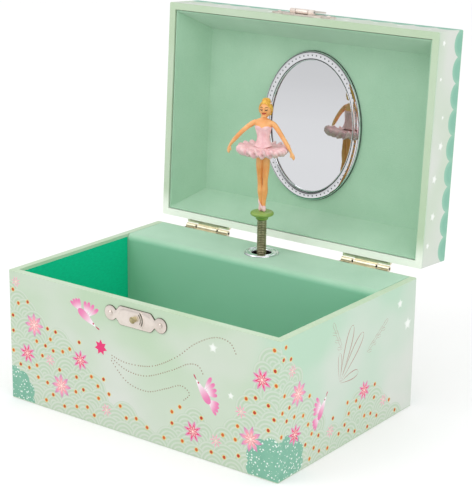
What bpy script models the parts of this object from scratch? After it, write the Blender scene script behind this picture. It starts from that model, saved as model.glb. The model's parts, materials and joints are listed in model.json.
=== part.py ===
"""Ballerina jewellery box with an 18-note clockwork movement, standing open with its dancer upright.

Row frame: origin at the centre of the base's underside, +X right, -Y front, +Z up. Shapes are written in
millimetres and turned into metres as each mesh is made.
"""

import math

import bmesh
import bpy
from mathutils import Vector

MM = 0.001

# Box
BOX_W = 160.0
BOX_D = 113.0
BASE_H = 65.5
LID_H = 23.0
SEAM = 0.3
OPEN_ANGLE = 93.2
PAPER = 0.35
GLUE = 0.1
BOARD = 2.6
CORNER_R = 0.6
RIM_W = 3.5
RIM_LIP = 6.0
FOLD_MARGIN = 8.0
FLOCK = 0.6

# Lid hinges
HINGE_Y = 59.8
HINGE_Z = BASE_H + SEAM / 2
HINGE_X = 49.0
HINGE_LEN = 27.4
KNUCKLE_R = 1.45
KNUCKLE_LEN = 6.2
KNUCKLE_GAP = 0.7
HINGE_PIN_R = 0.6
PLATE = 0.7

# Compartment and rear tier
CARD = 1.6
TIER_FACE_Y = 26.2
TIER_R = 3.2
TIER_HALF_W = 76.2
PAD_TOP = 5.65

# Dancer's axis, shared by the grommet, the spring and the spindle
DANCER_X = -2.0
DANCER_Y = 43.05
DANCER_TURN = 18.7
GROMMET_R = 8.5
GROMMET_HOLE_R = 4.6

# Mirror
MIRROR_A = 29.65
MIRROR_B = 38.25
MIRROR_FRAME_W = 4.7
MIRROR_FRONT_H = 17.8

# Lid tray
TRAY_RIM = (4.5, 0.9)
TRAY_BACK = (13.4, 19.6)

# Latch
CATCH_Z = 58.0
FLAP_H = 5.0
FLAP_Y = -BOX_D / 2 - GLUE - PLATE - 1.4
FLAP_REACH = BASE_H + SEAM + FLAP_H - CATCH_Z
FLAP_FOLD = 184.0
LUG_X = 14.7
LUG_R = 3.7
NAIL_HOLE_R = 0.6
LATCH_BARREL_R = 1.2
LATCH_PIN_R = 0.5
LATCH_BORE_R = 0.58
LATCH_HALF = 7.0
LATCH_INNER = 3.8

# Movement: bedplate, and the layers of the barrel from front to back
BED_FRONT = 50.9
BED_BACK = 53.1
BED_LOW = (-17, 6)
BED_HIGH = (47, 50)
BED_CORNER_R = 3
BED_SEAT = BED_FRONT - GLUE
CAP_FRONT = 33.0
SPRING_Y = (35.1, 46.6)
WHEEL_Y = (46.9, 48.1)
RATCHET_Y = (48.7, 50.1)

# Movement: the train. The barrel's 40 crown teeth drive two 8-leaf pinions.
BARREL_Z = 29.0
BARREL_IN_R = 10.2
BARREL_OUT_R = 11.0
ARBOR_R = 1.6
ARBOR_BORE_R = 1.75
PIVOT_BORE_R = 1.1
IDLER_BORE_R = 0.8
WHEEL_TEETH = 40
WHEEL_R = 12.5
PINION_TEETH = 8
PINION_R = 2.5
PINION_FACE = 2.6
DRUM_WHEEL_TEETH = 24
DRUM_WHEEL_R = 7.2
IDLER_PINION_R = 2.4
WORM_WHEEL_TEETH = 16
WORM_WHEEL_R = 4.8
WORM_R = 1.6
WORM_LEAD = 2 * math.pi * WORM_WHEEL_R / WORM_WHEEL_TEETH
IDLER_Z = BARREL_Z + DRUM_WHEEL_R + IDLER_PINION_R
WORM_X = 40.7
WORM_Z = IDLER_Z + WORM_WHEEL_R + WORM_R

# Movement: the music
DRUM_X = (14.0, 34.0)
DRUM_R = 6.2
PINION_X = 9.2
NOTES = 18
COMB_TIP_R = 7.1
COMB_FOOT_Z = 8.0
COMB_SCREW_Z = 10.6

LID_Z = BASE_H + SEAM
FRONT_Y = -BOX_D / 2
REAR_Y = BOX_D / 2
LID_PLATE_Z = LID_Z + FLAP_H + 1.2


# ---------------------------------------------------------------- materials


def material(name, colour, roughness, metallic=0.0):
    found = bpy.data.materials.new(name)
    found.use_nodes = True
    shader = found.node_tree.nodes["Principled BSDF"]
    shader.inputs["Base Color"].default_value = (*colour, 1.0)
    shader.inputs["Roughness"].default_value = roughness
    shader.inputs["Metallic"].default_value = metallic
    found.diffuse_color = (*colour, 1.0)
    return found


def make_materials():
    return {
        "board": material("board", (0.42, 0.33, 0.22), 0.9),
        "paper": material("printed_paper", (0.58, 0.71, 0.56), 0.55),
        "bottom": material("bottom_paper", (0.55, 0.62, 0.52), 0.8),
        "flock": material("mint_flock", (0.36, 0.56, 0.41), 0.95),
        "emerald": material("emerald_card", (0.03, 0.34, 0.18), 0.7),
        "pad": material("pad_cloth", (0.36, 0.56, 0.41), 0.95),
        "card": material("card", (0.45, 0.4, 0.3), 0.9),
        "chrome": material("chrome", (0.8, 0.8, 0.8), 0.12, 1.0),
        "nickel": material("nickel", (0.72, 0.66, 0.58), 0.35, 1.0),
        "mirror": material("mirror", (0.9, 0.92, 0.92), 0.02, 1.0),
        "green": material("green_plastic", (0.2, 0.33, 0.09), 0.4),
        "skin": material("skin_plastic", (0.73, 0.46, 0.2), 0.45),
        "pink": material("pink_plastic", (0.8, 0.5, 0.5), 0.5),
        "spring": material("spring_wire", (0.2, 0.18, 0.1), 0.4, 1.0),
        "steel": material("steel", (0.5, 0.5, 0.5), 0.35, 1.0),
        "brass": material("brass", (0.65, 0.45, 0.15), 0.3, 1.0),
        "zinc": material("cast_zinc", (0.45, 0.46, 0.48), 0.5, 1.0),
        "nylon": material("white_nylon", (0.75, 0.74, 0.7), 0.5),
    }


# ---------------------------------------------------------------- mesh tools

AXES = {
    "X": (Vector((0, 1, 0)), Vector((0, 0, 1)), Vector((1, 0, 0))),
    "Y": (Vector((1, 0, 0)), Vector((0, 0, 1)), Vector((0, 1, 0))),
    "Z": (Vector((1, 0, 0)), Vector((0, 1, 0)), Vector((0, 0, 1))),
}


def skin(rings, closed=False):
    """A mesh through rings of equal count, capped at both ends, or joined round to the first when closed."""
    bm = bmesh.new()
    made = [[bm.verts.new(point) for point in ring] for ring in rings]
    count = len(rings[0])
    pairs = list(zip(made, made[1:] + made[:1] if closed else made[1:]))
    for one, other in pairs:
        for k in range(count):
            after = (k + 1) % count
            bm.faces.new((one[k], one[after], other[after], other[k]))
    if not closed:
        bm.faces.new(made[0])
        bm.faces.new(made[-1])
    bmesh.ops.remove_doubles(bm, verts=bm.verts, dist=1e-5)
    bmesh.ops.recalc_face_normals(bm, faces=bm.faces)
    return bm


def prism(outline, axis, low, high, centre=(0, 0, 0)):
    """An outline of (u, v) points, extruded along an axis from low to high."""
    u, v, w = AXES[axis]
    origin = Vector(centre)
    return skin([[origin + u * a + v * b + w * end for a, b in outline] for end in (low, high)])


def turned(loop, axis, centre, segments=24):
    """A closed loop of (radius, height) points turned about an axis."""
    u, v, w = AXES[axis]
    origin = Vector(centre)
    rings = []
    for k in range(segments):
        angle = 2 * math.pi * k / segments
        out = u * math.cos(angle) + v * math.sin(angle)
        rings.append([origin + out * r + w * h for r, h in loop])
    return skin(rings, closed=True)


def rod(radius, axis, low, high, centre, segments=24):
    return turned([(0, low), (radius, low), (radius, high), (0, high)], axis, centre, segments)


def box(low, high):
    x, y, z = zip(low, high)
    return prism([(x[0], y[0]), (x[1], y[0]), (x[1], y[1]), (x[0], y[1])], "Z", z[0], z[1])


def merged(*meshes):
    """Several meshes as one, for a cutter or for shapes that a union joins to a body."""
    whole = bmesh.new()
    for bm in meshes:
        copy = bpy.data.meshes.new("part")
        bm.to_mesh(copy)
        bm.free()
        whole.from_mesh(copy)
        bpy.data.meshes.remove(copy)
    return whole


def arc(centre, radius, start, end, steps):
    """Points on a circle between two angles in degrees, both ends included."""
    points = []
    for k in range(steps + 1):
        angle = math.radians(start + (end - start) * k / steps)
        points.append((centre[0] + radius * math.cos(angle), centre[1] + radius * math.sin(angle)))
    return points


def rounded_rectangle(low, high, radius, steps=3):
    (x0, y0), (x1, y1) = low, high
    return (
        arc((x1 - radius, y0 + radius), radius, -90, 0, steps)
        + arc((x1 - radius, y1 - radius), radius, 0, 90, steps)
        + arc((x0 + radius, y1 - radius), radius, 90, 180, steps)
        + arc((x0 + radius, y0 + radius), radius, 180, 270, steps)
    )


def tooth_outline(teeth, root, flank, tip, first):
    """A toothed outline. Root, flank and tip are (radius, half thickness), and first is a tooth's angle."""
    points = []
    for k in range(teeth):
        middle = math.radians(first) + 2 * math.pi * k / teeth
        for radius, half in (root, flank, tip):
            points.append((radius, middle - half / radius))
        for radius, half in (tip, flank, root):
            points.append((radius, middle + half / radius))
    return [(r * math.cos(a), r * math.sin(a)) for r, a in points]


def add(name, bm, finish, parent=None, smooth=40.0, helper=False):
    """The mesh as a named object in metres, placed under its parent with its closed-box coordinates."""
    for vert in bm.verts:
        vert.co *= MM
    data = bpy.data.meshes.new(name)
    bm.to_mesh(data)
    bm.free()
    data.shade_smooth()
    data.set_sharp_from_angle(angle=math.radians(smooth))
    obj = bpy.data.objects.new(name, data)
    bpy.context.scene.collection.objects.link(obj)
    if finish:
        data.materials.append(finish)
    if parent:
        obj.parent = parent
        obj.location = -Vector(parent["rest_axis"])
    if helper:
        obj.hide_render = True
        obj.display_type = "WIRE"
    return obj


def combine(obj, tool, operation):
    change = obj.modifiers.new(tool.name, "BOOLEAN")
    change.operation = operation
    change.object = tool
    change.solver = "EXACT"


def cut(name, bm, *targets, parent=None):
    tool = add(name, bm, None, parent, helper=True)
    for obj in targets:
        combine(obj, tool, "DIFFERENCE")


def weld_on(name, bm, target, parent=None):
    combine(target, add(name, bm, None, parent, helper=True), "UNION")


def axis_empty(name, point, parent=None, turn=(0, 0, 0)):
    """An empty on a joint's axis. Its children keep the coordinates that they have before it turns."""
    empty = bpy.data.objects.new(name, None)
    bpy.context.scene.collection.objects.link(empty)
    empty["rest_axis"] = [c * MM for c in point]
    empty.location = Vector(point) * MM
    if parent:
        empty.parent = parent
        empty.location -= Vector(parent["rest_axis"])
    empty.rotation_euler = [math.radians(a) for a in turn]
    return empty


# ---------------------------------------------------------------- box shells


def wall_ring(profile):
    """A mitred ring round the box. The profile is (inset from the outer face, height) points."""
    rings = []
    for inset, height in profile:
        radius = max(CORNER_R - inset, 0.0)
        x, y = BOX_W / 2 - inset, BOX_D / 2 - inset
        ring = rounded_rectangle((-x, -y), (x, y), radius)
        rings.append([Vector((a, b, height)) for a, b in ring])
    return skin(rings, closed=True)


def base_shell(mats):
    inner = PAPER + GLUE
    x_out, y_out = BOX_W / 2 - inner, BOX_D / 2 - inner
    x_in, y_in = x_out - BOARD, y_out - BOARD
    floor_top = inner + BOARD
    low, top = floor_top + GLUE, BASE_H - inner
    rear_top = BASE_H - FLOCK - 0.2
    add("base_floor", box((-x_out, -y_out, inner), (x_out, y_out, floor_top)), mats["board"])
    front = add("base_front", box((-x_out, -y_out, low), (x_out, -y_in, top)), mats["board"])
    rear = add("base_rear", box((-x_out, y_in, low), (x_out, y_out, rear_top)), mats["board"])
    for name, side in (("base_left", -1), ("base_right", 1)):
        xs = sorted((side * x_in, side * x_out))
        add(name, box((xs[0], -y_in + GLUE, low), (xs[1], y_in - GLUE, top)), mats["board"])
    lip = RIM_W - PAPER
    profile = [
        (0, 0), (FOLD_MARGIN, 0), (FOLD_MARGIN, PAPER), (PAPER, PAPER), (PAPER, BASE_H - PAPER),
        (lip, BASE_H - PAPER), (lip, BASE_H - RIM_LIP), (RIM_W, BASE_H - RIM_LIP), (RIM_W, BASE_H),
        (0, BASE_H),
    ]
    wrap = add("base_wrap", wall_ring(profile), mats["paper"])
    edge = FOLD_MARGIN + 0.3
    sheet = box((-BOX_W / 2 + edge, -BOX_D / 2 + edge, 0), (BOX_W / 2 - edge, BOX_D / 2 - edge, PAPER))
    add("base_bottom_sheet", sheet, mats["bottom"])
    rear_rim = box((-TIER_HALF_W - 0.2, REAR_Y - RIM_W - 1, BASE_H - RIM_LIP - 1),
                   (TIER_HALF_W + 0.2, REAR_Y - PAPER - 0.15, BASE_H + 1))
    cut("rear_rim_cut", rear_rim, wrap)
    key_hole = rod(3.2, "Y", REAR_Y - 6, REAR_Y + 3, (DANCER_X, 0, BARREL_Z))
    cut("key_hole_cut", key_hole, wrap, rear)
    nails = merged(*[nail_hole(side, CATCH_Z) for side in (-1, 1)])
    cut("base_nail_cut", nails, wrap, front)


def nail_hole(side, height):
    return rod(NAIL_HOLE_R, "Y", FRONT_Y - 1, FRONT_Y + 6, (side * LUG_X, 0, height), 12)


def lid_shell(mats, lid):
    inner = PAPER + GLUE
    x_out, y_out = BOX_W / 2 - inner, BOX_D / 2 - inner
    x_in, y_in = x_out - BOARD, y_out - BOARD
    wall_top = LID_H - 2.8
    board_top = LID_H - 2 * PAPER - 2 * GLUE
    low, high = LID_Z + inner, LID_Z + wall_top
    front = add("lid_front", box((-x_out, -y_out, low), (x_out, -y_in, high)), mats["board"], lid)
    add("lid_rear", box((-x_out, y_in, low), (x_out, y_out, high)), mats["board"], lid)
    for name, side in (("lid_left", -1), ("lid_right", 1)):
        xs = sorted((side * x_in, side * x_out))
        add(name, box((xs[0], -y_in + GLUE, low), (xs[1], y_in - GLUE, high)), mats["board"], lid)
    top = box((-x_out, -y_out, high + GLUE), (x_out, y_out, LID_Z + board_top))
    add("lid_top_board", top, mats["board"], lid)
    lip, fold = RIM_W - PAPER, board_top + GLUE
    profile = [
        (0, 0), (0, fold + PAPER), (FOLD_MARGIN, fold + PAPER), (FOLD_MARGIN, fold), (PAPER, fold),
        (PAPER, PAPER), (lip, PAPER), (lip, RIM_LIP), (RIM_W, RIM_LIP), (RIM_W, 0),
    ]
    wrap = add("lid_wrap", wall_ring([(d, LID_Z + h) for d, h in profile]), mats["paper"], lid)
    sheet = rounded_rectangle((-BOX_W / 2, -BOX_D / 2), (BOX_W / 2, BOX_D / 2), CORNER_R)
    add("lid_top_sheet", prism(sheet, "Z", LID_Z + LID_H - PAPER, LID_Z + LID_H), mats["paper"], lid)
    nails = merged(*[nail_hole(side, LID_PLATE_Z) for side in (-1, 1)])
    cut("lid_nail_cut", nails, wrap, front, parent=lid)


def lid_tray(mats, lid):
    """The flocked tray: four sloping sides and a flat back, one thickness throughout."""
    (rim_d, rim_h), (back_d, back_h) = TRAY_RIM, TRAY_BACK
    slope = math.atan2(back_h - rim_h, back_d - rim_d)
    shift = FLOCK / math.sin(slope)
    rings = []
    for d, h in ((back_d, back_h), (rim_d, rim_h), (rim_d - shift, rim_h), (back_d - shift, back_h + FLOCK)):
        x, y = BOX_W / 2 - d, BOX_D / 2 - d
        corners = ((-x, -y), (x, -y), (x, y), (-x, y))
        rings.append([Vector((a, b, LID_Z + h)) for a, b in corners])
    add("lid_lining", skin(rings), mats["flock"], lid)


def oval_ring(profile, segments=40):
    """A loop of (inset from the frame's outer edge, height) points carried round the mirror's oval."""
    rings = []
    for k in range(segments):
        angle = 2 * math.pi * k / segments
        ring = []
        for inset, height in profile:
            x, y = (MIRROR_A - inset) * math.cos(angle), (MIRROR_B - inset) * math.sin(angle)
            ring.append(Vector((x, y, LID_Z + height)))
        rings.append(ring)
    return skin(rings, closed=True)


def mirror(mats, lid):
    front, back = MIRROR_FRONT_H, TRAY_BACK[1] - GLUE
    frame = [
        (0.3, front + 0.3), (0.0, front + 0.7), (0.0, back), (0.7, back), (0.7, front + 0.5),
        (MIRROR_FRAME_W, front + 0.5), (MIRROR_FRAME_W, front + 0.1), (MIRROR_FRAME_W - 0.6, front),
        (0.9, front),
    ]
    add("mirror_frame", oval_ring(frame), mats["chrome"], lid)
    edge = 0.9
    glass = [
        ((MIRROR_A - edge) * math.cos(a), (MIRROR_B - edge) * math.sin(a))
        for a in (2 * math.pi * k / 40 for k in range(40))
    ]
    add("mirror_glass", prism(glass, "Z", LID_Z + front + 0.65, LID_Z + back - 0.1), mats["mirror"], lid)


# ---------------------------------------------------------------- base interior


def tier_section(offset, thickness, low, rear):
    """The rear tier's bent section in (y, z): a drop panel, a rounded edge and a flat top."""
    centre = (TIER_FACE_Y + TIER_R, BASE_H - TIER_R)
    outer, inner = TIER_R - offset, TIER_R - offset - thickness
    face, top = TIER_FACE_Y + offset, BASE_H - offset
    return (
        [(face, low)]
        + arc(centre, outer, 180, 90, 8)
        + [(rear, top), (rear, top - thickness)]
        + arc(centre, inner, 90, 180, 8)
        + [(face + thickness, low)]
    )


def base_interior(mats):
    x, y = BOX_W / 2 - RIM_W - 0.1, BOX_D / 2 - RIM_W - 0.1
    thick, end = FLOCK, TIER_FACE_Y - 0.2
    card = [(-x, end), (-x, -y), (x, -y), (x, end), (x - thick, end), (x - thick, -y + thick),
            (-x + thick, -y + thick), (-x + thick, end)]
    floor_z = PAPER + 2 * GLUE + BOARD
    add("compartment_lining", prism(card, "Z", floor_z + 0.1, BASE_H - 1.5), mats["emerald"])
    gap = 0.3
    pad_x = x - thick - gap
    pad = rounded_rectangle((-pad_x, -y + thick + gap), (pad_x, TIER_FACE_Y - 0.4), 1.0)
    add("floor_pad", prism(pad, "Z", floor_z + 0.1, PAD_TOP), mats["pad"])
    section = tier_section(FLOCK + GLUE, CARD, floor_z + 0.1, REAR_Y - PAPER - GLUE - BOARD - 0.2)
    tier_card = add("platform_card", prism(section, "X", -TIER_HALF_W, TIER_HALF_W), mats["card"])
    section = tier_section(0, FLOCK, floor_z + 0.3, REAR_Y - PAPER - 0.25)
    tier_lining = add("platform_lining", prism(section, "X", -TIER_HALF_W, TIER_HALF_W), mats["flock"])
    hole = rod(5.4, "Z", BASE_H - 6, BASE_H + 3, (DANCER_X, DANCER_Y, 0), 32)
    cut("grommet_cut", hole, tier_card, tier_lining)


def grommet(mats):
    top, under = BASE_H + GLUE, BASE_H - FLOCK - GLUE - CARD - GLUE
    r, hole = GROMMET_R, GROMMET_HOLE_R
    loop = [
        (r, top), (r - 0.2, top + 0.45), (r - 1.0, top + 0.9), (r - 2.2, top + 1.05),
        (hole + 0.7, top + 0.85),
        (hole + 0.1, top + 0.3), (hole, top - 0.5), (hole, under - 0.7), (hole + 1.6, under - 0.7),
        (hole + 1.6, under - 0.1), (hole + 0.6, under - 0.1), (hole + 0.6, top),
    ]
    add("grommet", turned(loop, "Z", (DANCER_X, DANCER_Y, 0), 28), mats["chrome"])


# ---------------------------------------------------------------- hinges and latch


def leaf_section(side):
    """A hinge leaf's section in (y, z) about its axis: plate, bent web and rolled barrel. side is -1 below."""
    outer = -(HINGE_Y - REAR_Y - GLUE)
    inner = outer + PLATE
    points = [(outer, -10.6), (inner, -10.6), (inner, -3.1)]
    points += arc((0, 0), KNUCKLE_R, -65, 165, 11)
    points += [(outer, -1.95)]
    return [(y, -side * z) for y, z in points]


def hinge(mats, lid, name, x):
    centre = (x, HINGE_Y, HINGE_Z)
    half = HINGE_LEN / 2
    inner_half = half - KNUCKLE_LEN - KNUCKLE_GAP
    base_leaf = add(f"{name}_base_leaf", prism(leaf_section(-1), "X", -half, half, centre), mats["nickel"])
    lid_leaf = add(f"{name}_lid_leaf", prism(leaf_section(1), "X", -half, half, centre), mats["nickel"], lid)
    reach = KNUCKLE_R + 0.3
    keep = half - KNUCKLE_LEN
    y0 = HINGE_Y - 2.45
    middle = box((x - keep, y0, HINGE_Z - 3.6), (x + keep, HINGE_Y + reach, HINGE_Z + reach))
    cut(f"{name}_base_gap", middle, base_leaf)
    ends = merged(*[
        box((x + s[0], y0, HINGE_Z - reach), (x + s[1], HINGE_Y + reach, HINGE_Z + 3.6))
        for s in ((-half - 1, -inner_half), (inner_half, half + 1))
    ])
    cut(f"{name}_lid_gap", ends, lid_leaf, parent=lid)
    bore = rod(HINGE_PIN_R + 0.08, "X", -half - 1, half + 1, centre, 16)
    cut(f"{name}_base_bore", bore, base_leaf)
    bore = rod(HINGE_PIN_R + 0.08, "X", -half - 1, half + 1, centre, 16)
    cut(f"{name}_lid_bore", bore, lid_leaf, parent=lid)
    add(f"{name}_pin", rod(HINGE_PIN_R, "X", -half, half, centre, 16), mats["steel"])


def lug_outline(height, half_w=9.2, half_h=4.6):
    """A plate with a broad middle and a round lug at each end, as (x, z) points."""
    neck_x, neck_z = LUG_X - 3.2, 2.0
    right = [(half_w, -half_h), (neck_x, -neck_z)] + arc((LUG_X, 0), LUG_R, -145, 145, 9)
    right += [(neck_x, neck_z), (half_w, half_h)]
    left = [(-x, -z) for x, z in right]
    return [(x, z + height) for x, z in right + left]


def nail(name, mats, height, parent=None):
    """A domed nail, driven from the front of the latch plate into the board."""
    face = FRONT_Y - GLUE - PLATE - GLUE
    for label, side in (("left", -1), ("right", 1)):
        loop = [(0, face - 0.55), (0.7, face - 0.45), (1.3, face), (0.45, face), (0.45, face + 3.2),
                (0, face + 3.8)]
        centre = (side * LUG_X, 0, height)
        add(f"{name}_nail_{label}", turned(loop, "Y", centre, 12), mats["nickel"], parent)


def plate_holes(height):
    """Cutters for the nail holes in a latch plate's two lugs."""
    back = FRONT_Y - GLUE
    front = back - PLATE
    return merged(*[rod(NAIL_HOLE_R, "Y", front - 1, back + 1, (s * LUG_X, 0, height), 12) for s in (-1, 1)])


def latch_catch(mats):
    """The base's plate, with the stud that the flap's eye drops over."""
    back = FRONT_Y - GLUE
    face = back - PLATE
    plate = add("latch_base_plate", prism(lug_outline(CATCH_Z), "Y", face, back), mats["nickel"])
    stud = [
        (0, face - 2.3), (1.9, face - 2.3), (2.3, face - 1.9), (2.0, face - 1.2), (1.8, face + 0.3),
        (0, face + 0.3),
    ]
    weld_on("catch_stud", turned(stud, "Y", (0, 0, CATCH_Z), 16), plate)
    cut("base_plate_holes", plate_holes(CATCH_Z), plate)
    nail("latch_base", mats, CATCH_Z)


def latch_lid_plate(mats, lid, axis):
    """The lid's plate, with a rolled knuckle each side of the flap's own."""
    back = FRONT_Y - GLUE
    face = back - PLATE
    spans = ((-LATCH_HALF, -LATCH_INNER), (LATCH_INNER, LATCH_HALF))
    web = 0.8
    plate = add("latch_lid_plate", prism(lug_outline(LID_PLATE_Z), "Y", face, back), mats["nickel"], lid)
    knuckles = merged(*[rod(LATCH_BARREL_R, "X", *span, axis, 12) for span in spans])
    weld_on("lid_plate_knuckles", knuckles, plate, lid)
    webs = merged(*[
        box((low, FLAP_Y, axis[2] - web), (high, face + 0.3, axis[2] + web)) for low, high in spans
    ])
    weld_on("lid_plate_webs", webs, plate, lid)
    bore = rod(LATCH_BORE_R, "X", -LATCH_HALF - 1, LATCH_HALF + 1, axis, 8)
    cut("lid_plate_bore", bore, plate, parent=lid)
    cut("lid_plate_holes", plate_holes(LID_PLATE_Z), plate, parent=lid)
    add("latch_pin", rod(LATCH_PIN_R, "X", -LATCH_HALF, LATCH_HALF, axis, 8), mats["steel"], lid)
    nail("latch_lid", mats, LID_PLATE_Z, lid)


def latch_flap(mats, flap_axis, axis):
    """The rounded tongue on the lid's plate, with its eye."""
    end_r, neck, shoulder = 5.2, 3.2, -4.0
    end_z = -FLAP_REACH - 4.2 + end_r
    outline = [(-neck, 0), (-end_r, shoulder)] + arc((0, end_z), end_r, 180, 360, 12)
    outline += [(end_r, shoulder), (neck, 0)]
    tongue = prism(outline, "Y", FLAP_Y - PLATE / 2, FLAP_Y + PLATE / 2, (0, 0, axis[2]))
    flap = add("latch_flap", tongue, mats["nickel"], flap_axis)
    half = LATCH_INNER - 0.3
    weld_on("flap_knuckle", rod(LATCH_BARREL_R, "X", -half, half, axis, 12), flap, flap_axis)
    eye = rod(2.8, "Y", FLAP_Y - 2, FLAP_Y + 2, (0, 0, axis[2] - FLAP_REACH), 16)
    cut("flap_eye", eye, flap, parent=flap_axis)
    bore = rod(LATCH_BORE_R, "X", -LATCH_INNER - 2, LATCH_INNER + 2, axis, 8)
    cut("flap_bore", bore, flap, parent=flap_axis)


def latch(mats, lid, flap_axis):
    axis = (0, FLAP_Y, LID_Z + FLAP_H)
    latch_catch(mats)
    latch_lid_plate(mats, lid, axis)
    latch_flap(mats, flap_axis, axis)


# ---------------------------------------------------------------- dancer


def tube(path, radii, sides=10, depth=None):
    """A limb: an oval tube through path points, with a half width and half depth at each."""
    points = [Vector(p) for p in path]
    depth = depth or radii
    rings = []
    for k, point in enumerate(points):
        ahead = points[min(k + 1, len(points) - 1)] - points[max(k - 1, 0)]
        across = ahead.cross(Vector((0, 1, 0))).normalized()
        forward = across.cross(ahead).normalized()
        ring = []
        for n in range(sides):
            angle = 2 * math.pi * n / sides
            wide, deep = radii[k] * math.cos(angle), depth[k] * math.sin(angle)
            ring.append(point + across * wide + forward * deep)
        rings.append(ring)
    return skin(rings)


def loft(sections, sides=16):
    """Level oval sections, each (height, half width, half depth, forward shift)."""
    rings = []
    for height, wide, deep, shift in sections:
        angles = [2 * math.pi * n / sides for n in range(sides)]
        rings.append([Vector((wide * math.cos(a), deep * math.sin(a) - shift, height)) for a in angles])
    return skin(rings)


def oval(centre, size, sides=16, levels=8):
    rings = []
    for k in range(1, levels):
        polar = math.pi * k / levels
        wide = math.sin(polar)
        rings.append((centre[2] - size[2] * math.cos(polar), size[0] * wide, size[1] * wide))
    bm = loft([(z, a, b, -centre[1]) for z, a, b in rings], sides)
    for vert in bm.verts:
        vert.co.x += centre[0]
    return bm


def dancer(mats, figure):
    stand = [
        (0, 83.1), (3.4, 83.1), (3.9, 83.5), (4.2, 84.6), (5.5, 85.1), (5.9, 85.7), (5.9, 86.6), (5.4, 87.2),
        (0, 87.3),
    ]
    add("figure_stand", turned(stand, "Z", (0, 0, 0), 24), mats["green"], figure)
    leg_r = [1.0, 1.15, 1.1, 1.5, 1.45, 1.7, 1.85, 1.7]
    leg_z = [87.4, 89.0, 91.5, 97.0, 102.0, 107.0, 112.0, 114.4]
    left = [(1.0 + 0.09 * (z - 87.4) ** 0.7, -0.2, z) for z in leg_z]
    right = [(-x, y + 0.3, z) for x, y, z in left]
    legs = add("figure_legs", tube(left, leg_r), mats["skin"], figure)
    weld_on("second_leg", tube(right, leg_r), legs, figure)
    shoes = loft([(87.4, 2.3, 1.6, 0.6), (88.6, 2.4, 1.9, 0.7), (90.0, 2.0, 1.3, 0.2)], 12)
    weld_on("shoes", shoes, legs, figure)
    hips = loft([(111.5, 2.6, 1.6, 0.0), (113.2, 3.3, 1.9, 0.0), (114.4, 3.3, 1.9, 0.0)], 12)
    weld_on("hips", hips, legs, figure)
    add("figure_skirt", skirt(), mats["pink"], figure)
    torso = loft([
        (114.7, 2.4, 1.8, 0.0), (119.9, 2.4, 1.8, 0.0), (120.1, 4.6, 3.4, 0.0), (122.0, 3.9, 3.0, 0.0),
        (124.6, 3.2, 2.5, 0.0), (127.2, 3.6, 2.8, 0.1), (129.8, 4.1, 3.2, 0.4), (131.4, 4.4, 2.6, 0.2),
        (133.0, 4.6, 1.9, 0.0), (134.0, 2.6, 1.7, 0.0), (134.6, 1.4, 1.4, 0.0), (137.0, 1.3, 1.3, 0.1),
    ])
    upper = add("figure_upper", torso, mats["skin"], figure)
    for name, side in (("left_arm", 1), ("right_arm", -1)):
        path = [
            (3.6, 0, 132.3), (6.2, -0.2, 130.6), (9.4, -0.5, 127.2), (12.6, -1.2, 123.2),
            (15.0, -1.6, 119.6), (16.2, -1.5, 117.2), (16.8, -1.2, 115.0),
        ]
        arm = tube([(side * x, y, z) for x, y, z in path], [1.3, 1.2, 1.05, 0.95, 0.75, 0.95, 0.6],
                   depth=[1.3, 1.2, 1.05, 0.9, 0.6, 0.6, 0.4])
        weld_on(name, arm, upper, figure)
    weld_on("head", oval((0, 0, 140.2), (3.4, 3.9, 4.4)), upper, figure)
    weld_on("bun", oval((0, 2.8, 142.9), (2.1, 2.0, 1.7), 12, 6), upper, figure)


def skirt(folds=10, steps=4):
    """A short stiff skirt: a thick disc whose outer edge waves up and down."""
    section = [
        (2.9, 119.6, 0.0), (7.5, 119.6, 0.3), (11.2, 118.6, 0.7), (12.2, 116.6, 0.9), (11.0, 115.2, 0.9),
        (7.5, 116.4, 0.3), (2.9, 117.0, 0.0),
    ]
    rings = []
    for k in range(folds * steps):
        angle = 2 * math.pi * k / (folds * steps)
        wave = math.sin(folds * angle)
        out = Vector((math.cos(angle), math.sin(angle), 0))
        rings.append([out * r + Vector((0, 0, z + lift * wave)) for r, z, lift in section])
    return skin(rings, closed=True)


def dancer_spring(mats):
    """A closed-wound coil that carries the dancer and lets it fold forward."""
    coil_r, wire_r, pitch, low, high = 1.975, 0.37, 0.95, 63.4, 82.6
    steps = 8
    count = int((high - low) / pitch * steps)
    rings = []
    for k in range(count + 1):
        angle = 2 * math.pi * k / steps
        out = Vector((math.cos(angle), math.sin(angle), 0))
        centre = Vector((DANCER_X, DANCER_Y, low + pitch * k / steps)) + out * coil_r
        corners = [(wire_r, 0), (0, wire_r), (-wire_r, 0), (0, -wire_r)]
        rings.append([centre + out * a + Vector((0, 0, b)) for a, b in corners])
    add("dancer_spring", skin(rings), mats["spring"])


# ---------------------------------------------------------------- movement


def bedplate(mats):
    plate = prism(rounded_rectangle(BED_LOW, BED_HIGH, BED_CORNER_R), "Y", BED_FRONT, BED_BACK)
    plate = add("bedplate", plate, mats["zinc"])
    hole = rod(ARBOR_R + 0.1, "Y", BED_FRONT - 1, BED_BACK + 1, (DANCER_X, 0, BARREL_Z))
    cut("arbor_hole", hole, plate)


def crown_tooth(middle):
    """One tapered tooth on the front of the barrel's rim, at an angle about the barrel's axis."""
    inner, outer, tip_y = 11.25, 13.7, 44.9
    rings = []
    for y, half in ((WHEEL_Y[0] + 0.3, 0.5), (tip_y, 0.25)):
        ring = []
        for radius, side in ((inner, -1), (outer, -1), (outer, 1), (inner, 1)):
            angle = middle + side * half / WHEEL_R
            x, z = DANCER_X + radius * math.cos(angle), BARREL_Z + radius * math.sin(angle)
            ring.append(Vector((x, y, z)))
        rings.append(ring)
    return skin(rings)


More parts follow.
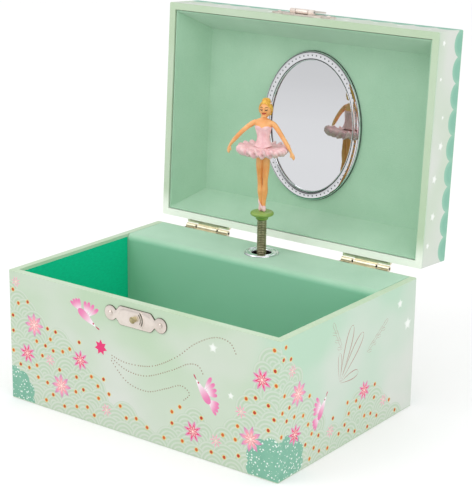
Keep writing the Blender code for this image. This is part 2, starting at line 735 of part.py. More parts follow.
def barrel(mats):
    """The going barrel and its cap. The barrel's rim is a crown wheel that drives both pinions."""
    centre = (DANCER_X, 0, BARREL_Z)
    front, back = WHEEL_Y
    mouth, rim_r = CAP_FRONT + 1.0, 13.8
    cup = [
        (ARBOR_BORE_R, front), (BARREL_IN_R, front), (BARREL_IN_R, mouth), (BARREL_OUT_R, mouth),
        (BARREL_OUT_R, front - 0.3), (rim_r, front), (rim_r, back), (ARBOR_BORE_R, back),
    ]
    body = add("spring_barrel", turned(cup, "Y", centre, 40), mats["brass"])
    angles = [2 * math.pi * (k + 0.5) / WHEEL_TEETH for k in range(WHEEL_TEETH)]
    weld_on("crown_teeth", merged(*[crown_tooth(angle) for angle in angles]), body)
    flange, plug, plug_r = CAP_FRONT + 0.8, CAP_FRONT + 1.8, BARREL_IN_R - 0.2
    cap = [
        (ARBOR_BORE_R, CAP_FRONT), (BARREL_OUT_R, CAP_FRONT), (BARREL_OUT_R, flange), (plug_r, flange),
        (plug_r, plug), (ARBOR_BORE_R, plug),
    ]
    add("barrel_cap", turned(cap, "Y", centre, 24), mats["brass"])


def mainspring(mats):
    """A flat strip wound in an open spiral between the arbor's core and the barrel's wall."""
    steps, first, last, half_thick = 20, 3.5, 9.7, 0.25
    count = 4 * steps
    edges = []
    for side in (half_thick, -half_thick):
        edge = []
        for k in range(count + 1):
            angle = 2 * math.pi * k / steps
            radius = first + (last - first) * k / count + side
            edge.append((radius * math.cos(angle), radius * math.sin(angle)))
        edges.append(edge)
    strip = edges[0] + edges[1][::-1]
    add("mainspring", prism(strip, "Y", *SPRING_Y, (DANCER_X, 0, BARREL_Z)), mats["steel"])


def winding_arbor(mats):
    """The arbor that the mainspring hooks to, with its ratchet behind the wheel."""
    centre = (DANCER_X, 0, BARREL_Z)
    core_r, end, teeth, root_r, tip_r = 3.0, 61.4, 14, 5.0, 6.0
    shaft = [
        (0, CAP_FRONT), (ARBOR_R, CAP_FRONT), (ARBOR_R, SPRING_Y[0]), (core_r, SPRING_Y[0]),
        (core_r, SPRING_Y[1]), (ARBOR_R, SPRING_Y[1]), (ARBOR_R, end), (0, end),
    ]
    arbor = add("winding_arbor", turned(shaft, "Y", centre, 24), mats["steel"])
    saw = []
    for k in range(teeth):
        angle = 2 * math.pi * k / teeth
        saw += [(radius * math.cos(angle), radius * math.sin(angle)) for radius in (root_r, tip_r)]
    weld_on("ratchet", prism(saw, "Y", *RATCHET_Y, centre), arbor)


def winding_key(mats):
    """The butterfly key behind the box: a socketed hub and two pierced wings."""
    centre = (DANCER_X, 0, BARREL_Z)
    hub_r, start, end = 2.7, 57.0, 65.0
    hub = [(0, start), (hub_r, start), (hub_r, end - 2.0), (hub_r - 0.8, end), (0, end)]
    key = add("winding_key", turned(hub, "Y", centre, 20), mats["zinc"])
    half, wing_r, hole_r = 0.75, 5.2, 2.6
    low, high = BARREL_Z - half, BARREL_Z + half
    wings = merged(*[rod(wing_r, "Z", low, high, (DANCER_X + s * 6.4, 66.2, 0), 20) for s in (-1, 1)])
    weld_on("key_wings", wings, key)
    weld_on("key_web", box((DANCER_X - 3, 60.5, low), (DANCER_X + 3, 66.0, high)), key)
    holes = merged(*[
        rod(hole_r, "Z", BARREL_Z - 2, BARREL_Z + 2, (DANCER_X + s * 6.8, 66.4, 0), 12) for s in (-1, 1)
    ])
    cut("key_wing_holes", holes, key)
    cut("key_socket", rod(ARBOR_BORE_R, "Y", start - 1, 61.7, centre, 20), key)


def click_spring(mats):
    """A curved strip whose tip drops behind a ratchet tooth, on a foot that stands on the bedplate."""
    bend = (DANCER_X - 19.3, BARREL_Z)
    radius, thick, tip, foot_angle, steps = 14.0, 0.45, 0.8, 45, 6
    front, back = RATCHET_Y[0] + 0.1, RATCHET_Y[1] - 0.1
    strip = arc(bend, radius, tip, foot_angle, steps) + arc(bend, radius - thick, foot_angle, tip, steps)
    click = add("click_spring", prism(strip, "Y", front, back), mats["steel"])
    x, z = strip[steps]
    weld_on("click_foot", rod(1.5, "Y", front, BED_SEAT, (x, 0, z), 12), click)


def spindle(mats):
    """The dancer's upright shaft with its pinion, and the bracket that carries it."""
    centre = (DANCER_X, DANCER_Y, 0)
    shaft_r, collar_r, boss_r = 1.0, 1.9, 1.45
    low, collar, boss, high = 40.2, (45.5, 46.5), 57.0, 65.8
    shaft = [
        (0, low), (shaft_r, low), (shaft_r, collar[0]), (collar_r, collar[0]), (collar_r, collar[1]),
        (shaft_r, collar[1]), (shaft_r, boss), (boss_r, boss), (boss_r, high), (0, high),
    ]
    body = add("spindle", turned(shaft, "Z", centre, 16), mats["brass"])
    weld_on("spindle_pinion", prism(pinion_outline(PINION_R, 90), "Z", low, low + PINION_FACE, centre), body)
    front, inside, half_w = 38.6, 49.6, 4.5
    lower, upper = (43.9, 45.2), (53.0, 54.2)
    profile = [
        (BED_SEAT, lower[0]), (front, lower[0]), (front, lower[1]), (inside, lower[1]),
        (inside, upper[0]), (front, upper[0]), (front, upper[1]), (BED_SEAT, upper[1]),
    ]
    bracket = prism(profile, "X", DANCER_X - half_w, DANCER_X + half_w)
    bracket = add("spindle_bracket", bracket, mats["steel"])
    cut("spindle_bores", rod(PIVOT_BORE_R, "Z", lower[0] - 0.9, upper[1] + 1.8, centre, 16), bracket)


def pinion_outline(pitch_r, first):
    scale = pitch_r / PINION_R
    return tooth_outline(PINION_TEETH, (1.5 * scale, 0.42), (pitch_r, 0.33), (pitch_r + 0.5, 0.18), first)


def drum_pin(x, angle):
    """A square pin that stands out from the drum at an angle about its axis."""
    half, radii = 0.22, (DRUM_R - 0.3, 6.85)
    out = Vector((0, math.cos(angle), math.sin(angle)))
    side = Vector((0, -math.sin(angle), math.cos(angle)))
    ends = []
    for radius in radii:
        middle = Vector((x, DANCER_Y, BARREL_Z)) + out * radius
        corners = ((-half, -half), (half, -half), (half, half), (-half, half))
        ends.append([middle + Vector((a, 0, 0)) + side * b for a, b in corners])
    return skin(ends)


def drum(mats):
    """The pinned drum on its arbor, with its pinion at one end and the governor's wheel at the other."""
    centre = (0, DANCER_Y, BARREL_Z)
    low, high = DRUM_X
    shaft_r, end = 1.0, 39.6
    shape = [
        (0, PINION_X), (shaft_r, PINION_X), (shaft_r, low), (DRUM_R, low), (DRUM_R, high), (shaft_r, high),
        (shaft_r, end), (0, end),
    ]
    body = add("drum", turned(shape, "X", centre, 24), mats["brass"])
    pinion = prism(pinion_outline(PINION_R, 0), "X", PINION_X, PINION_X + PINION_FACE, centre)
    weld_on("drum_pinion", pinion, body)
    wheel = tooth_outline(DRUM_WHEEL_TEETH, (6.4, 0.45), (DRUM_WHEEL_R, 0.33), (7.6, 0.18), 90)
    weld_on("drum_wheel", prism(wheel, "X", high + 1.0, high + 2.4, centre), body)
    pins = []
    for note in range(NOTES):
        x = low + (high - low) * (note + 0.5) / NOTES
        for k in range(1 + note % 2):
            pins.append(drum_pin(x, math.radians(47 * note + 151 * k + 20)))
    weld_on("drum_pins", merged(*pins), body)


def drum_brackets(mats):
    """Two plates that stand on the bedplate. The right one also carries the idler."""
    centre = (0, DANCER_Y, BARREL_Z)
    front, foot, toe, thick = 39.8, 24.0, 25.6, 1.2
    left_x, right_x = 12.3, 37.6
    outline = [(front, toe), (BED_SEAT, foot), (BED_SEAT, 34.0), (front, 32.4)]
    left = add("drum_bracket_left", prism(outline, "X", left_x, left_x + thick), mats["steel"])
    cut("left_bore", rod(PIVOT_BORE_R, "X", left_x - 1, left_x + 3, centre, 16), left)
    outline = [(front, toe), (BED_SEAT, foot), (BED_SEAT, 42.5), (front, 41.5)]
    right = add("drum_bracket_right", prism(outline, "X", right_x, right_x + thick), mats["steel"])
    span = (right_x - 1, right_x + 3)
    idler_bore = rod(IDLER_BORE_R, "X", *span, (0, DANCER_Y, IDLER_Z), 12)
    cut("right_bores", merged(rod(PIVOT_BORE_R, "X", *span, centre, 16), idler_bore), right)


def comb(mats):
    """Eighteen steel tongues under the drum, on a block that stands on the bedplate."""
    low, high = DRUM_X
    tip, root, block_top, slit = BARREL_Z - COMB_TIP_R, 14.0, 13.0, 0.13
    pitch = (high - low) / NOTES
    outline = [(high, COMB_FOOT_Z), (high, root)]
    for note in reversed(range(NOTES)):
        left, right = low + pitch * note + slit, low + pitch * (note + 1) - slit
        outline += [(right, root), (right, tip), (left, tip), (left, root)]
    outline += [(low, root), (low, COMB_FOOT_Z)]
    plate = (DANCER_Y - 0.5, DANCER_Y + 0.5)
    steel = add("comb", prism(outline, "Y", *plate), mats["steel"])
    front = plate[1] + GLUE
    block = add("comb_block", box((low, front, COMB_FOOT_Z), (high, BED_SEAT, block_top)), mats["zinc"])
    places = (("left", low + 3.5), ("right", high - 3.5))
    bores = merged(*[rod(0.85, "Y", plate[0] - 1, front + 4, (x, 0, COMB_SCREW_Z), 12) for _, x in places])
    cut("comb_bores", bores, steel, block)
    head, end, shank_r, head_r = plate[0] - GLUE, plate[0] - GLUE + 4.4, 0.75, 1.7
    for name, x in places:
        loop = [(0, head - 1.1), (1.5, head - 1.0), (head_r, head), (shank_r, head), (shank_r, end), (0, end)]
        add(f"comb_screw_{name}", turned(loop, "Y", (x, 0, COMB_SCREW_Z), 12), mats["steel"])


def idler(mats):
    """The cross shaft between the drum's wheel and the worm."""
    centre = (0, DANCER_Y, IDLER_Z)
    shaft = add("idler", rod(0.7, "X", 34.2, 44.0, centre, 12), mats["brass"])
    pinion = pinion_outline(IDLER_PINION_R, -67.5)
    weld_on("idler_pinion", prism(pinion, "X", 34.6, 36.8, centre), shaft)
    half_pitch = 180 / WORM_WHEEL_TEETH
    wheel = tooth_outline(WORM_WHEEL_TEETH, (3.9, 0.42), (WORM_WHEEL_R, 0.33), (5.2, 0.2), 90 + half_pitch)
    weld_on("worm_wheel", prism(wheel, "X", WORM_X - 0.7, WORM_X + 0.7, centre), shaft)


def governor_worm(mats):
    """The worm with its two-vane air brake, which holds the drum to an even speed."""
    shaft = (WORM_X, 0, WORM_Z)
    reach, half, front, back = 3.6, 0.2, 30.4, 35.4
    worm = add("governor_worm", worm_thread(), mats["nylon"])
    weld_on("worm_shaft", rod(0.6, "Y", 29.6, 50.0, shaft, 12), worm)
    for name, flip in (("fan_vane_one", 1), ("fan_vane_two", -1)):
        z = sorted((WORM_Z, WORM_Z + flip * reach))
        weld_on(name, box((WORM_X - half, front, z[0]), (WORM_X + half, back, z[1])), worm)


def governor_bracket(mats):
    """A bent frame with an arm at each end of the worm, and a foot on the bedplate."""
    low, high = (36.2, 37.4), (48.6, 49.8)
    arm, plate = 38.4, (43.0, 44.2)
    outline = [
        (arm, low[0]), (plate[1], low[0]), (plate[1], BED_SEAT), (plate[0], BED_SEAT),
        (plate[0], high[1]), (arm, high[1]), (arm, high[0]), (plate[0], high[0]), (plate[0], low[1]),
        (arm, low[1]),
    ]
    bracket = add("governor_bracket", prism(outline, "Z", 34.5, 47.4), mats["steel"])
    trim = box((arm - 1, low[0] - 1, 33), (plate[0] - 0.1, high[1] + 1, 42.4))
    cut("bracket_trim", trim, bracket)
    worm_bore = rod(0.7, "Y", 35, 51, (WORM_X, 0, WORM_Z), 12)
    idler_bore = rod(IDLER_BORE_R, "X", 42, 46, (0, DANCER_Y, IDLER_Z), 12)
    cut("bracket_bores", merged(worm_bore, idler_bore), bracket)


def worm_thread():
    """A single-start right-hand thread. Its ridge faces the wheel on the dancer's plane."""
    low, turns, per_turn, sides = 39.6, 3.6, 10, 12
    rings = []
    for j in range(int(turns * per_turn) + 1):
        y = low + WORM_LEAD * j / per_turn
        ring = []
        for k in range(sides):
            angle = 2 * math.pi * k / sides
            phase = (y - DANCER_Y) / WORM_LEAD + (angle + math.pi / 2) / (2 * math.pi)
            off = abs(phase - round(phase)) * WORM_LEAD
            radius = 1.0 + max(0.0, min(1.0, (0.5 - off) / 0.35))
            ring.append(Vector((WORM_X + radius * math.cos(angle), y, WORM_Z + radius * math.sin(angle))))
        rings.append(ring)
    return skin(rings)


# ---------------------------------------------------------------- assembly


def build():
    for obj in list(bpy.data.objects):
        bpy.data.objects.remove(obj, do_unlink=True)
    mats = make_materials()
    lid = axis_empty("lid_axis", (0, HINGE_Y, HINGE_Z), turn=(-OPEN_ANGLE, 0, 0))
    flap = axis_empty("flap_axis", (0, FLAP_Y, LID_Z + FLAP_H), lid, turn=(-FLAP_FOLD, 0, 0))
    figure = bpy.data.objects.new("figure_axis", None)
    bpy.context.scene.collection.objects.link(figure)
    figure["rest_axis"] = [0.0, 0.0, 0.0]
    figure.location = (DANCER_X * MM, DANCER_Y * MM, 0)
    figure.rotation_euler = (0, 0, math.radians(DANCER_TURN))
    base_shell(mats)
    base_interior(mats)
    grommet(mats)
    lid_shell(mats, lid)
    lid_tray(mats, lid)
    mirror(mats, lid)
    hinge(mats, lid, "hinge_left", -HINGE_X)
    hinge(mats, lid, "hinge_right", HINGE_X)
    latch(mats, lid, flap)
    dancer(mats, figure)
    dancer_spring(mats)
    bedplate(mats)
    barrel(mats)
    mainspring(mats)
    winding_arbor(mats)
    winding_key(mats)
    click_spring(mats)
    spindle(mats)
    drum(mats)
    drum_brackets(mats)
    comb(mats)
    idler(mats)
    governor_worm(mats)
    governor_bracket(mats)


build()
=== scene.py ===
"""Looks of the ballerina jewellery box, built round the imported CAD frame.

Lengths are written in millimetres and turned into metres as each mesh is made. Pieces of the lid are modelled
with it shut and then turned open, and pieces of the dancer are modelled about the dancer's own upright axis.
"""

import json
import math
import random

import bmesh
import bpy
from mathutils import Euler, Matrix, Vector
from mathutils.geometry import delaunay_2d_cdt


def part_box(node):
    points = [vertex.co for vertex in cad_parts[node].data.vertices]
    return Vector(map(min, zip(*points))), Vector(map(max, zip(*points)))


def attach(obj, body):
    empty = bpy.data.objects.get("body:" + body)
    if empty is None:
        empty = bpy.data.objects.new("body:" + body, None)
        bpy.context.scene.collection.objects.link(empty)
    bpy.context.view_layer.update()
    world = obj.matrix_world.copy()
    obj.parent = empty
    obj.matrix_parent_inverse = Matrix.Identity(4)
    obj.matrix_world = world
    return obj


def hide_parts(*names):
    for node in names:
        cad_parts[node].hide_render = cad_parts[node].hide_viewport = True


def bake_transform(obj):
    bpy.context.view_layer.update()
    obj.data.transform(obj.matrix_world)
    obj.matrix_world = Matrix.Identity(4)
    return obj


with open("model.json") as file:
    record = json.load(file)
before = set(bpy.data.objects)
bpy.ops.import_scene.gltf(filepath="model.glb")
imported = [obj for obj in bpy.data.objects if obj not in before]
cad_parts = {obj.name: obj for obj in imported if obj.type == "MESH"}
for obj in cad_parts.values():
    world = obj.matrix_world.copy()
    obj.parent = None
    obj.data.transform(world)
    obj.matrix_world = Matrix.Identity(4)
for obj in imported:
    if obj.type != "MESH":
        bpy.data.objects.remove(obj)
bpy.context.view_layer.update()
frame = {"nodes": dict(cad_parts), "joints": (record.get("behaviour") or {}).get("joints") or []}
nodes = frame["nodes"]

MM = 0.001
TAU = 2 * math.pi
X_AXIS, Y_AXIS, Z_AXIS = Vector((1, 0, 0)), Vector((0, 1, 0)), Vector((0, 0, 1))


def span(node):
    """A CAD node's lowest and highest corners at rest, in millimetres."""
    return [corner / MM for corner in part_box(node)]


WRAP_LOW, WRAP_HIGH = span("base_wrap")
BOX_W, BOX_D = WRAP_HIGH.x - WRAP_LOW.x, WRAP_HIGH.y - WRAP_LOW.y
BASE_H = WRAP_HIGH.z
LID_H = 23.0
LID_Z = BASE_H + 0.3
HINGE = Vector(frame["joints"][0]["pos_m"]) / MM
HINGE_X = 49.0
OPEN_ANGLE = math.radians(93.2)
SPINDLE = sum(span("spindle"), Vector()) / 2
FIGURE_TURN = math.radians(18.7)
KEY_Z, KEY_HOLE_R = 29.0, 3.2

OPEN = Matrix.Translation(HINGE * MM) @ Matrix.Rotation(-OPEN_ANGLE, 4, "X") @ Matrix.Translation(-HINGE * MM)
FIGURE = Matrix.Translation((SPINDLE.x * MM, SPINDLE.y * MM, 0)) @ Matrix.Rotation(FIGURE_TURN, 4, "Z")
UPRIGHT = Matrix.Identity(4)
PLACES = {"root": UPRIGHT, "lid": OPEN, "ballerina": FIGURE}


# ---------------------------------------------------------------- colours and node trees


def rgb(red, green, blue):
    """A colour given as 0 to 255 display values."""
    levels = [level / 255 for level in (red, green, blue)]
    return (*[v / 12.92 if v <= 0.04045 else ((v + 0.055) / 1.055) ** 2.4 for v in levels], 1.0)


class Nodes:
    """A node tree and a short way to write it. Most methods return the new node's result."""

    def __init__(self, owner):
        owner.use_nodes = True
        self.tree = owner.node_tree

    def put(self, socket, value):
        if isinstance(value, bpy.types.NodeSocket):
            self.tree.links.new(value, socket)
        else:
            socket.default_value = value

    def node(self, kind, inputs=None, **settings):
        """A new node. Its inputs are given by name or by number."""
        made = self.tree.nodes.new("ShaderNode" + kind)
        for key, value in settings.items():
            setattr(made, key, value)
        for key, value in (inputs or {}).items():
            self.put(made.inputs[key], value)
        return made

    def math(self, operation, *values):
        return self.node("Math", dict(enumerate(values)), operation=operation).outputs[0]

    def length(self, x, y):
        return self.math("SQRT", self.math("ADD", self.math("MULTIPLY", x, x), self.math("MULTIPLY", y, y)))

    def mix(self, factor, one, other, kind="RGBA"):
        first, result = {"RGBA": (6, 2), "FLOAT": (2, 0)}[kind]
        inputs = {0: factor, first: one, first + 1: other}
        return self.node("Mix", inputs, data_type=kind, clamp_factor=True).outputs[result]

    def step(self, value, low, high, start=0.0, end=1.0, kind="SMOOTHSTEP"):
        inputs = dict(enumerate((value, low, high, start, end)))
        return self.node("MapRange", inputs, interpolation_type=kind).outputs[0]

    def axes(self, vector):
        """A vector's three numbers."""
        return self.node("SeparateXYZ", {0: vector}).outputs

    def attribute(self, name):
        return self.axes(self.node("Attribute", attribute_name=name).outputs["Vector"])

    def place(self):
        return self.node("TexCoord").outputs["Object"]

    def stretched(self, vector, scale):
        return self.node("Mapping", {"Vector": vector, "Scale": scale}).outputs[0]

    def noise(self, vector, scale, detail=2.0, roughness=0.5):
        inputs = {"Vector": vector, "Scale": scale, "Detail": detail, "Roughness": roughness}
        return self.node("TexNoise", inputs).outputs["Fac"]

    def cells(self, vector, scale, randomness):
        inputs = {"Vector": vector, "Scale": scale, "Randomness": randomness}
        return self.node("TexVoronoi", inputs).outputs["Distance"]


class Surface(Nodes):
    """A material and its shader."""

    def __init__(self, name):
        self.material = bpy.data.materials.new(name)
        super().__init__(self.material)
        self.shader = self.tree.nodes["Principled BSDF"]

    def bump(self, height, distance, strength):
        made = self.node("Bump", {"Strength": strength, "Distance": distance, "Height": height})
        self.put(self.shader.inputs["Normal"], made.outputs[0])

    def finish(self, **inputs):
        for name, value in inputs.items():
            self.put(self.shader.inputs[name.replace("_", " ")], value)
        return self.material


# ---------------------------------------------------------------- materials


def flock(name, light, dark, upright=None):
    """Short nap: fine fibres over slow patches. Upright faces may take a deeper tone, a painted shade for the
    lesser light that falls on them.
    """
    s = Surface(name)
    at = s.place()
    fibres = s.noise(at, 2600.0, 3.0, 0.7)
    patches = s.noise(at, 45.0, 3.0)
    share = s.math("MULTIPLY_ADD", fibres, 0.55, s.math("MULTIPLY", patches, 0.45))
    s.bump(fibres, 0.00022, 0.8)
    colour = s.mix(s.step(share, 0.32, 0.66), dark, light)
    if upright:
        # painted shade: faces that stand upright are mixed towards the deeper upright colour
        _, _, level = s.axes(s.node("TexCoord").outputs["Normal"])
        colour = s.mix(s.step(level, 0.85, 0.15, 0.0, 0.9), colour, upright)
    return s.finish(Base_Color=colour, Roughness=0.95, Sheen_Weight=0.35, Sheen_Roughness=0.5,
                    Specular_IOR_Level=0.15)


def card(name, light, dark, roughness=0.85, fibre=420.0):
    """Board or card with pulp fibres."""
    s = Surface(name)
    fibres = s.noise(s.stretched(s.place(), (1.0, 0.35, 1.0)), fibre, 6.0, 0.65)
    s.bump(fibres, 0.00006, 0.5)
    return s.finish(Base_Color=s.mix(s.step(fibres, 0.3, 0.7), dark, light), Roughness=roughness,
                    Specular_IOR_Level=0.2)


def metal(name, light, dark, roughness, brush=(1.0, 1.0, 1.0), grain=900.0, relief=0.000012, metallic=1.0):
    """Plated or machined metal, with a fine grain, slow tarnish and small changes of polish."""
    s = Surface(name)
    at = s.place()
    lines = s.noise(s.stretched(at, brush), grain, 4.0, 0.6)
    tarnish = s.noise(at, 130.0, 4.0, 0.6)
    s.bump(lines, relief, 0.6)
    polish = s.math("MULTIPLY_ADD", lines, 0.12, roughness - 0.06)
    return s.finish(Base_Color=s.mix(s.step(tarnish, 0.35, 0.75), light, dark), Metallic=metallic,
                    Roughness=polish)


def plastic(name, light, dark, roughness, scatter=0.0, mottle=160.0):
    """Moulded plastic with a thin wash of paint, slightly mottled."""
    s = Surface(name)
    at = s.place()
    wash = s.noise(at, mottle, 4.0, 0.55)
    s.bump(s.noise(at, 1400.0, 2.0), 0.00002, 0.35)
    return s.finish(Base_Color=s.mix(s.step(wash, 0.3, 0.72), dark, light), Roughness=roughness,
                    Subsurface_Weight=scatter, Subsurface_Radius=(0.0016, 0.0008, 0.0005), Coat_Weight=0.12,
                    Coat_Roughness=0.35)


def mirror_silver(name):
    s = Surface(name)
    haze = s.noise(s.place(), 60.0, 3.0)
    polish = s.step(haze, 0.2, 0.9, 0.01, 0.035)
    return s.finish(Base_Color=rgb(222, 223, 226), Metallic=1.0, Roughness=polish)


GREEN_PRINT = rgb(188, 212, 182)
GREY_PRINT = rgb(216, 221, 213)
BLUE_PRINT = rgb(184, 216, 192)


def ground_colour(s, at):
    """The pale ground: green near the base's rim, bluer on its right side, grey low down and on the lid."""
    x, _, z = s.axes(at)
    height = s.math("MULTIPLY", s.step(z, 0.01, 0.065), s.step(z, 0.065, 0.068, 1.0, 0.1))
    clouds = s.noise(s.stretched(at, (1.0, 1.0, 1.4)), 22.0, 2.0, 0.4)
    blue = s.math("MULTIPLY", s.step(x, 0.06, 0.0795), s.step(z, 0.065, 0.068, 1.0, 0.0))
    green = s.mix(blue, GREEN_PRINT, BLUE_PRINT)
    share = s.math("MULTIPLY_ADD", height, 0.6, s.step(clouds, 0.35, 0.68, -0.1, 0.5))
    tint = s.mix(share, GREY_PRINT, green)
    fibres = s.noise(at, 1500.0, 3.0)
    s.bump(fibres, 0.00001, 0.3)
    return s.mix(s.step(fibres, 0.2, 0.9, 0.0, 0.05), tint, rgb(180, 200, 180))


def rim_paper(name, light, dark, low=None):
    """The yellower paper edging that shows on the rims, which may be painted paler low down: painted light on
    a lower rim that lies in shade.
    """
    s = Surface(name)
    at = s.place()
    s.bump(s.noise(at, 1500.0, 3.0), 0.00001, 0.3)
    colour = s.mix(s.step(s.noise(at, 30.0, 2.0), 0.3, 0.7), dark, light)
    if low:
        # painted light: paler below a height, where the lid's lower rim lies in shade
        _, _, height = s.axes(at)
        colour = s.mix(s.step(height, 0.085, 0.072), colour, low)
    return s.finish(Base_Color=colour, Roughness=0.5, Coat_Weight=0.15, Coat_Roughness=0.3)


# Motif kinds, as the printed sheets number them
BIG, DEEP, SMALL, DOT, STAR, SPARKLE, SPECK, FEATHER, LEAF, BEAD, SCALLOP = range(1, 12)


def mound_colour(s, ground):
    """Pale bands about each mound's centre, or teal with white specks where the radius is negative."""
    x, z, radius = s.attribute("mound")
    size = s.math("ABSOLUTE", radius)
    inside = s.math("GREATER_THAN", size, 0.01)
    depth = s.math("SUBTRACT", size, s.length(x, z))
    band = s.math("PINGPONG", s.math("ADD", depth, 0.3), 0.95)
    pale = s.mix(s.step(band, 0.42, 0.62), rgb(185, 207, 179), rgb(206, 217, 202))
    hill = s.mix(s.math("MULTIPLY", inside, 0.8), ground, pale)
    rings = s.math("PINGPONG", depth, 1.1)
    flat = s.node("CombineXYZ", {0: x, 1: z}).outputs[0]
    speck = s.math("LESS_THAN", s.cells(flat, 0.72, 0.85), 0.34)
    speckled = s.math("MULTIPLY", speck, s.math("GREATER_THAN", rings, 0.3))
    teal = s.mix(s.noise(s.place(), 240.0, 3.0), rgb(108, 172, 147), rgb(138, 193, 168))
    teal = s.mix(s.math("MULTIPLY", speckled, 0.95), teal, rgb(238, 246, 240))
    return s.mix(s.math("LESS_THAN", radius, -0.01), hill, teal)


def petals(s, along, across, widest, width, tip):
    """A share above 0 inside a diamond petal that starts at the flower's centre."""
    rise = s.math("DIVIDE", along, widest)
    fall = s.math("DIVIDE", s.math("SUBTRACT", tip, along), tip - widest)
    edge = s.math("MULTIPLY", s.math("MINIMUM", rise, fall), width)
    return s.math("GREATER_THAN", edge, across)


def flower_colour(s, hill, u, v, far, is_kind):
    """Eight petals in two layers, with a pale spoke in each."""
    sector = TAU / 8
    turn = s.math("MODULO", s.math("ADD", s.math("ARCTAN2", v, u), TAU / 2), sector)
    off = s.math("ABSOLUTE", s.math("SUBTRACT", turn, sector / 2))
    along = s.math("MULTIPLY", far, s.math("COSINE", off))
    across = s.math("MULTIPLY", far, s.math("SINE", off))
    slim = s.math("MULTIPLY", across, s.math("MULTIPLY_ADD", is_kind[SMALL], 0.75, 1.0))
    outer = petals(s, along, slim, 0.6, 0.195, 1.0)
    inner = petals(s, along, slim, 0.36, 0.13, 0.78)
    spoke = petals(s, along, across, 0.3, 0.035, 0.52)
    outer_tint = s.mix(is_kind[DEEP], rgb(208, 124, 176), rgb(214, 120, 172))
    outer_tint = s.mix(is_kind[SMALL], outer_tint, rgb(247, 184, 196))
    inner_tint = s.mix(is_kind[DEEP], rgb(246, 152, 168), rgb(232, 52, 112))
    inner_tint = s.mix(is_kind[SMALL], inner_tint, rgb(232, 96, 132))
    flower = s.mix(outer, hill, s.mix(s.step(along, 0.35, 1.0), rgb(243, 176, 205), outer_tint))
    inner_share = s.math("MULTIPLY", inner, s.math("SUBTRACT", 1.0, s.math("MULTIPLY", is_kind[SMALL], 0.4)))
    flower = s.mix(inner_share, flower, inner_tint)
    return s.mix(s.math("MAXIMUM", spoke, s.math("LESS_THAN", far, 0.1)), flower, rgb(255, 226, 214))


def small_motif_colours(s, hill, u, v, far):
    """The colour of each kind of motif that fills its own outline."""
    core = s.math("LESS_THAN", far, 0.66)
    warm = s.noise(s.place(), 90.0, 1.0)
    dot = s.mix(core, rgb(226, 208, 130), s.mix(s.step(warm, 0.4, 0.6), rgb(188, 44, 22), rgb(214, 96, 26)))
    taper = s.math("MULTIPLY_ADD", u, 0.4, 0.6)
    rim = s.math("MULTIPLY", s.math("SQRT", s.math("SUBTRACT", 1.0, s.math("MULTIPLY", u, u))), taper)
    edge = s.math("GREATER_THAN", s.math("DIVIDE", s.math("ABSOLUTE", v), rim), 0.8)
    line = s.math("MAXIMUM", edge, s.math("GREATER_THAN", u, 0.975))
    return {
        DOT: s.mix(s.math("LESS_THAN", far, 0.98), hill, dot),
        STAR: rgb(231, 40, 114),
        SPARKLE: s.mix(s.step(far, 0.15, 0.95, 0.85, 0.1), hill, rgb(250, 253, 249)),
        SPECK: rgb(146, 116, 92),
        FEATHER: s.mix(s.step(u, -0.9, 0.8), rgb(248, 242, 246), rgb(234, 122, 176)),
        LEAF: s.mix(s.math("MULTIPLY", line, 0.85), hill, rgb(168, 100, 88)),
        BEAD: rgb(196, 30, 84),
        SCALLOP: s.mix(s.step(far, 0.5, 1.0), rgb(128, 188, 164), rgb(146, 198, 174)),
    }


def printed_art(name):
    """The print. The sheet's mesh says which mound and which motif each face belongs to, and where on it."""
    s = Surface(name)
    hill = mound_colour(s, ground_colour(s, s.place()))
    u, v, kind = s.attribute("motif")
    far = s.length(u, v)
    is_kind = {k: s.math("COMPARE", kind, float(k), 0.2) for k in range(BIG, SCALLOP + 1)}
    is_flower = s.math("MULTIPLY", s.math("GREATER_THAN", kind, 0.5), s.math("LESS_THAN", kind, 3.5))
    colour = s.mix(is_flower, hill, flower_colour(s, hill, u, v, far, is_kind))
    for number, fill in small_motif_colours(s, hill, u, v, far).items():
        colour = s.mix(is_kind[number], colour, fill)
    return s.finish(Base_Color=colour, Roughness=0.48, Coat_Weight=0.15, Coat_Roughness=0.3)


# ---------------------------------------------------------------- mesh tools


def obj_from(name, bm, material, matrix=UPRIGHT, smooth=40.0):
    """A mesh in millimetres as an object in metres. The matrix is its own, so materials turn with it."""
    bmesh.ops.scale(bm, vec=(MM, MM, MM), verts=bm.verts)
    data = bpy.data.meshes.new(name)
    bm.to_mesh(data)
    bm.free()
    data.shade_smooth()
    data.set_sharp_from_angle(angle=math.radians(smooth))
    data.materials.append(material)
    made = bpy.data.objects.new(name, data)
    bpy.context.scene.collection.objects.link(made)
    made.matrix_world = matrix
    return made


def settle(obj, body, slot, *replaced):
    """Makes a piece ride on a body and hides the CAD nodes it replaces. Its slot is not used."""
    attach(obj, body)
    if replaced:
        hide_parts(*replaced)


def piece(name, bm, material, body, slot, *replaced, smooth=40.0):
    settle(obj_from(name, bm, material, PLACES[body], smooth), body, slot, *replaced)


def apply_modifiers(obj):
    graph = bpy.context.evaluated_depsgraph_get()
    done = bpy.data.meshes.new_from_object(obj.evaluated_get(graph))
    obj.modifiers.clear()
    obj.data = done


def melt(obj, voxel):
    """Asks for the piece to be remeshed from even voxels."""
    remesh = obj.modifiers.new("melt", "REMESH")
    remesh.mode = "VOXEL"
    remesh.voxel_size = voxel * MM


def angles(count):
    """A full turn shared out evenly."""
    return [TAU * k / count for k in range(count)]


def skin(rings, closed=False, into=None):
    """A mesh through rings of equal count, capped at both ends, or joined round when closed."""
    bm = into or bmesh.new()
    made = [[bm.verts.new(point) for point in ring] for ring in rings]
    count = len(rings[0])
    faces = []
    for one, other in zip(made, made[1:] + made[:1] if closed else made[1:]):
        for k in range(count):
            after = (k + 1) % count
            faces.append(bm.faces.new((one[k], one[after], other[after], other[k])))
    if not closed:
        faces += [bm.faces.new(made[0]), bm.faces.new(made[-1])]
    bmesh.ops.recalc_face_normals(bm, faces=faces)
    return bm


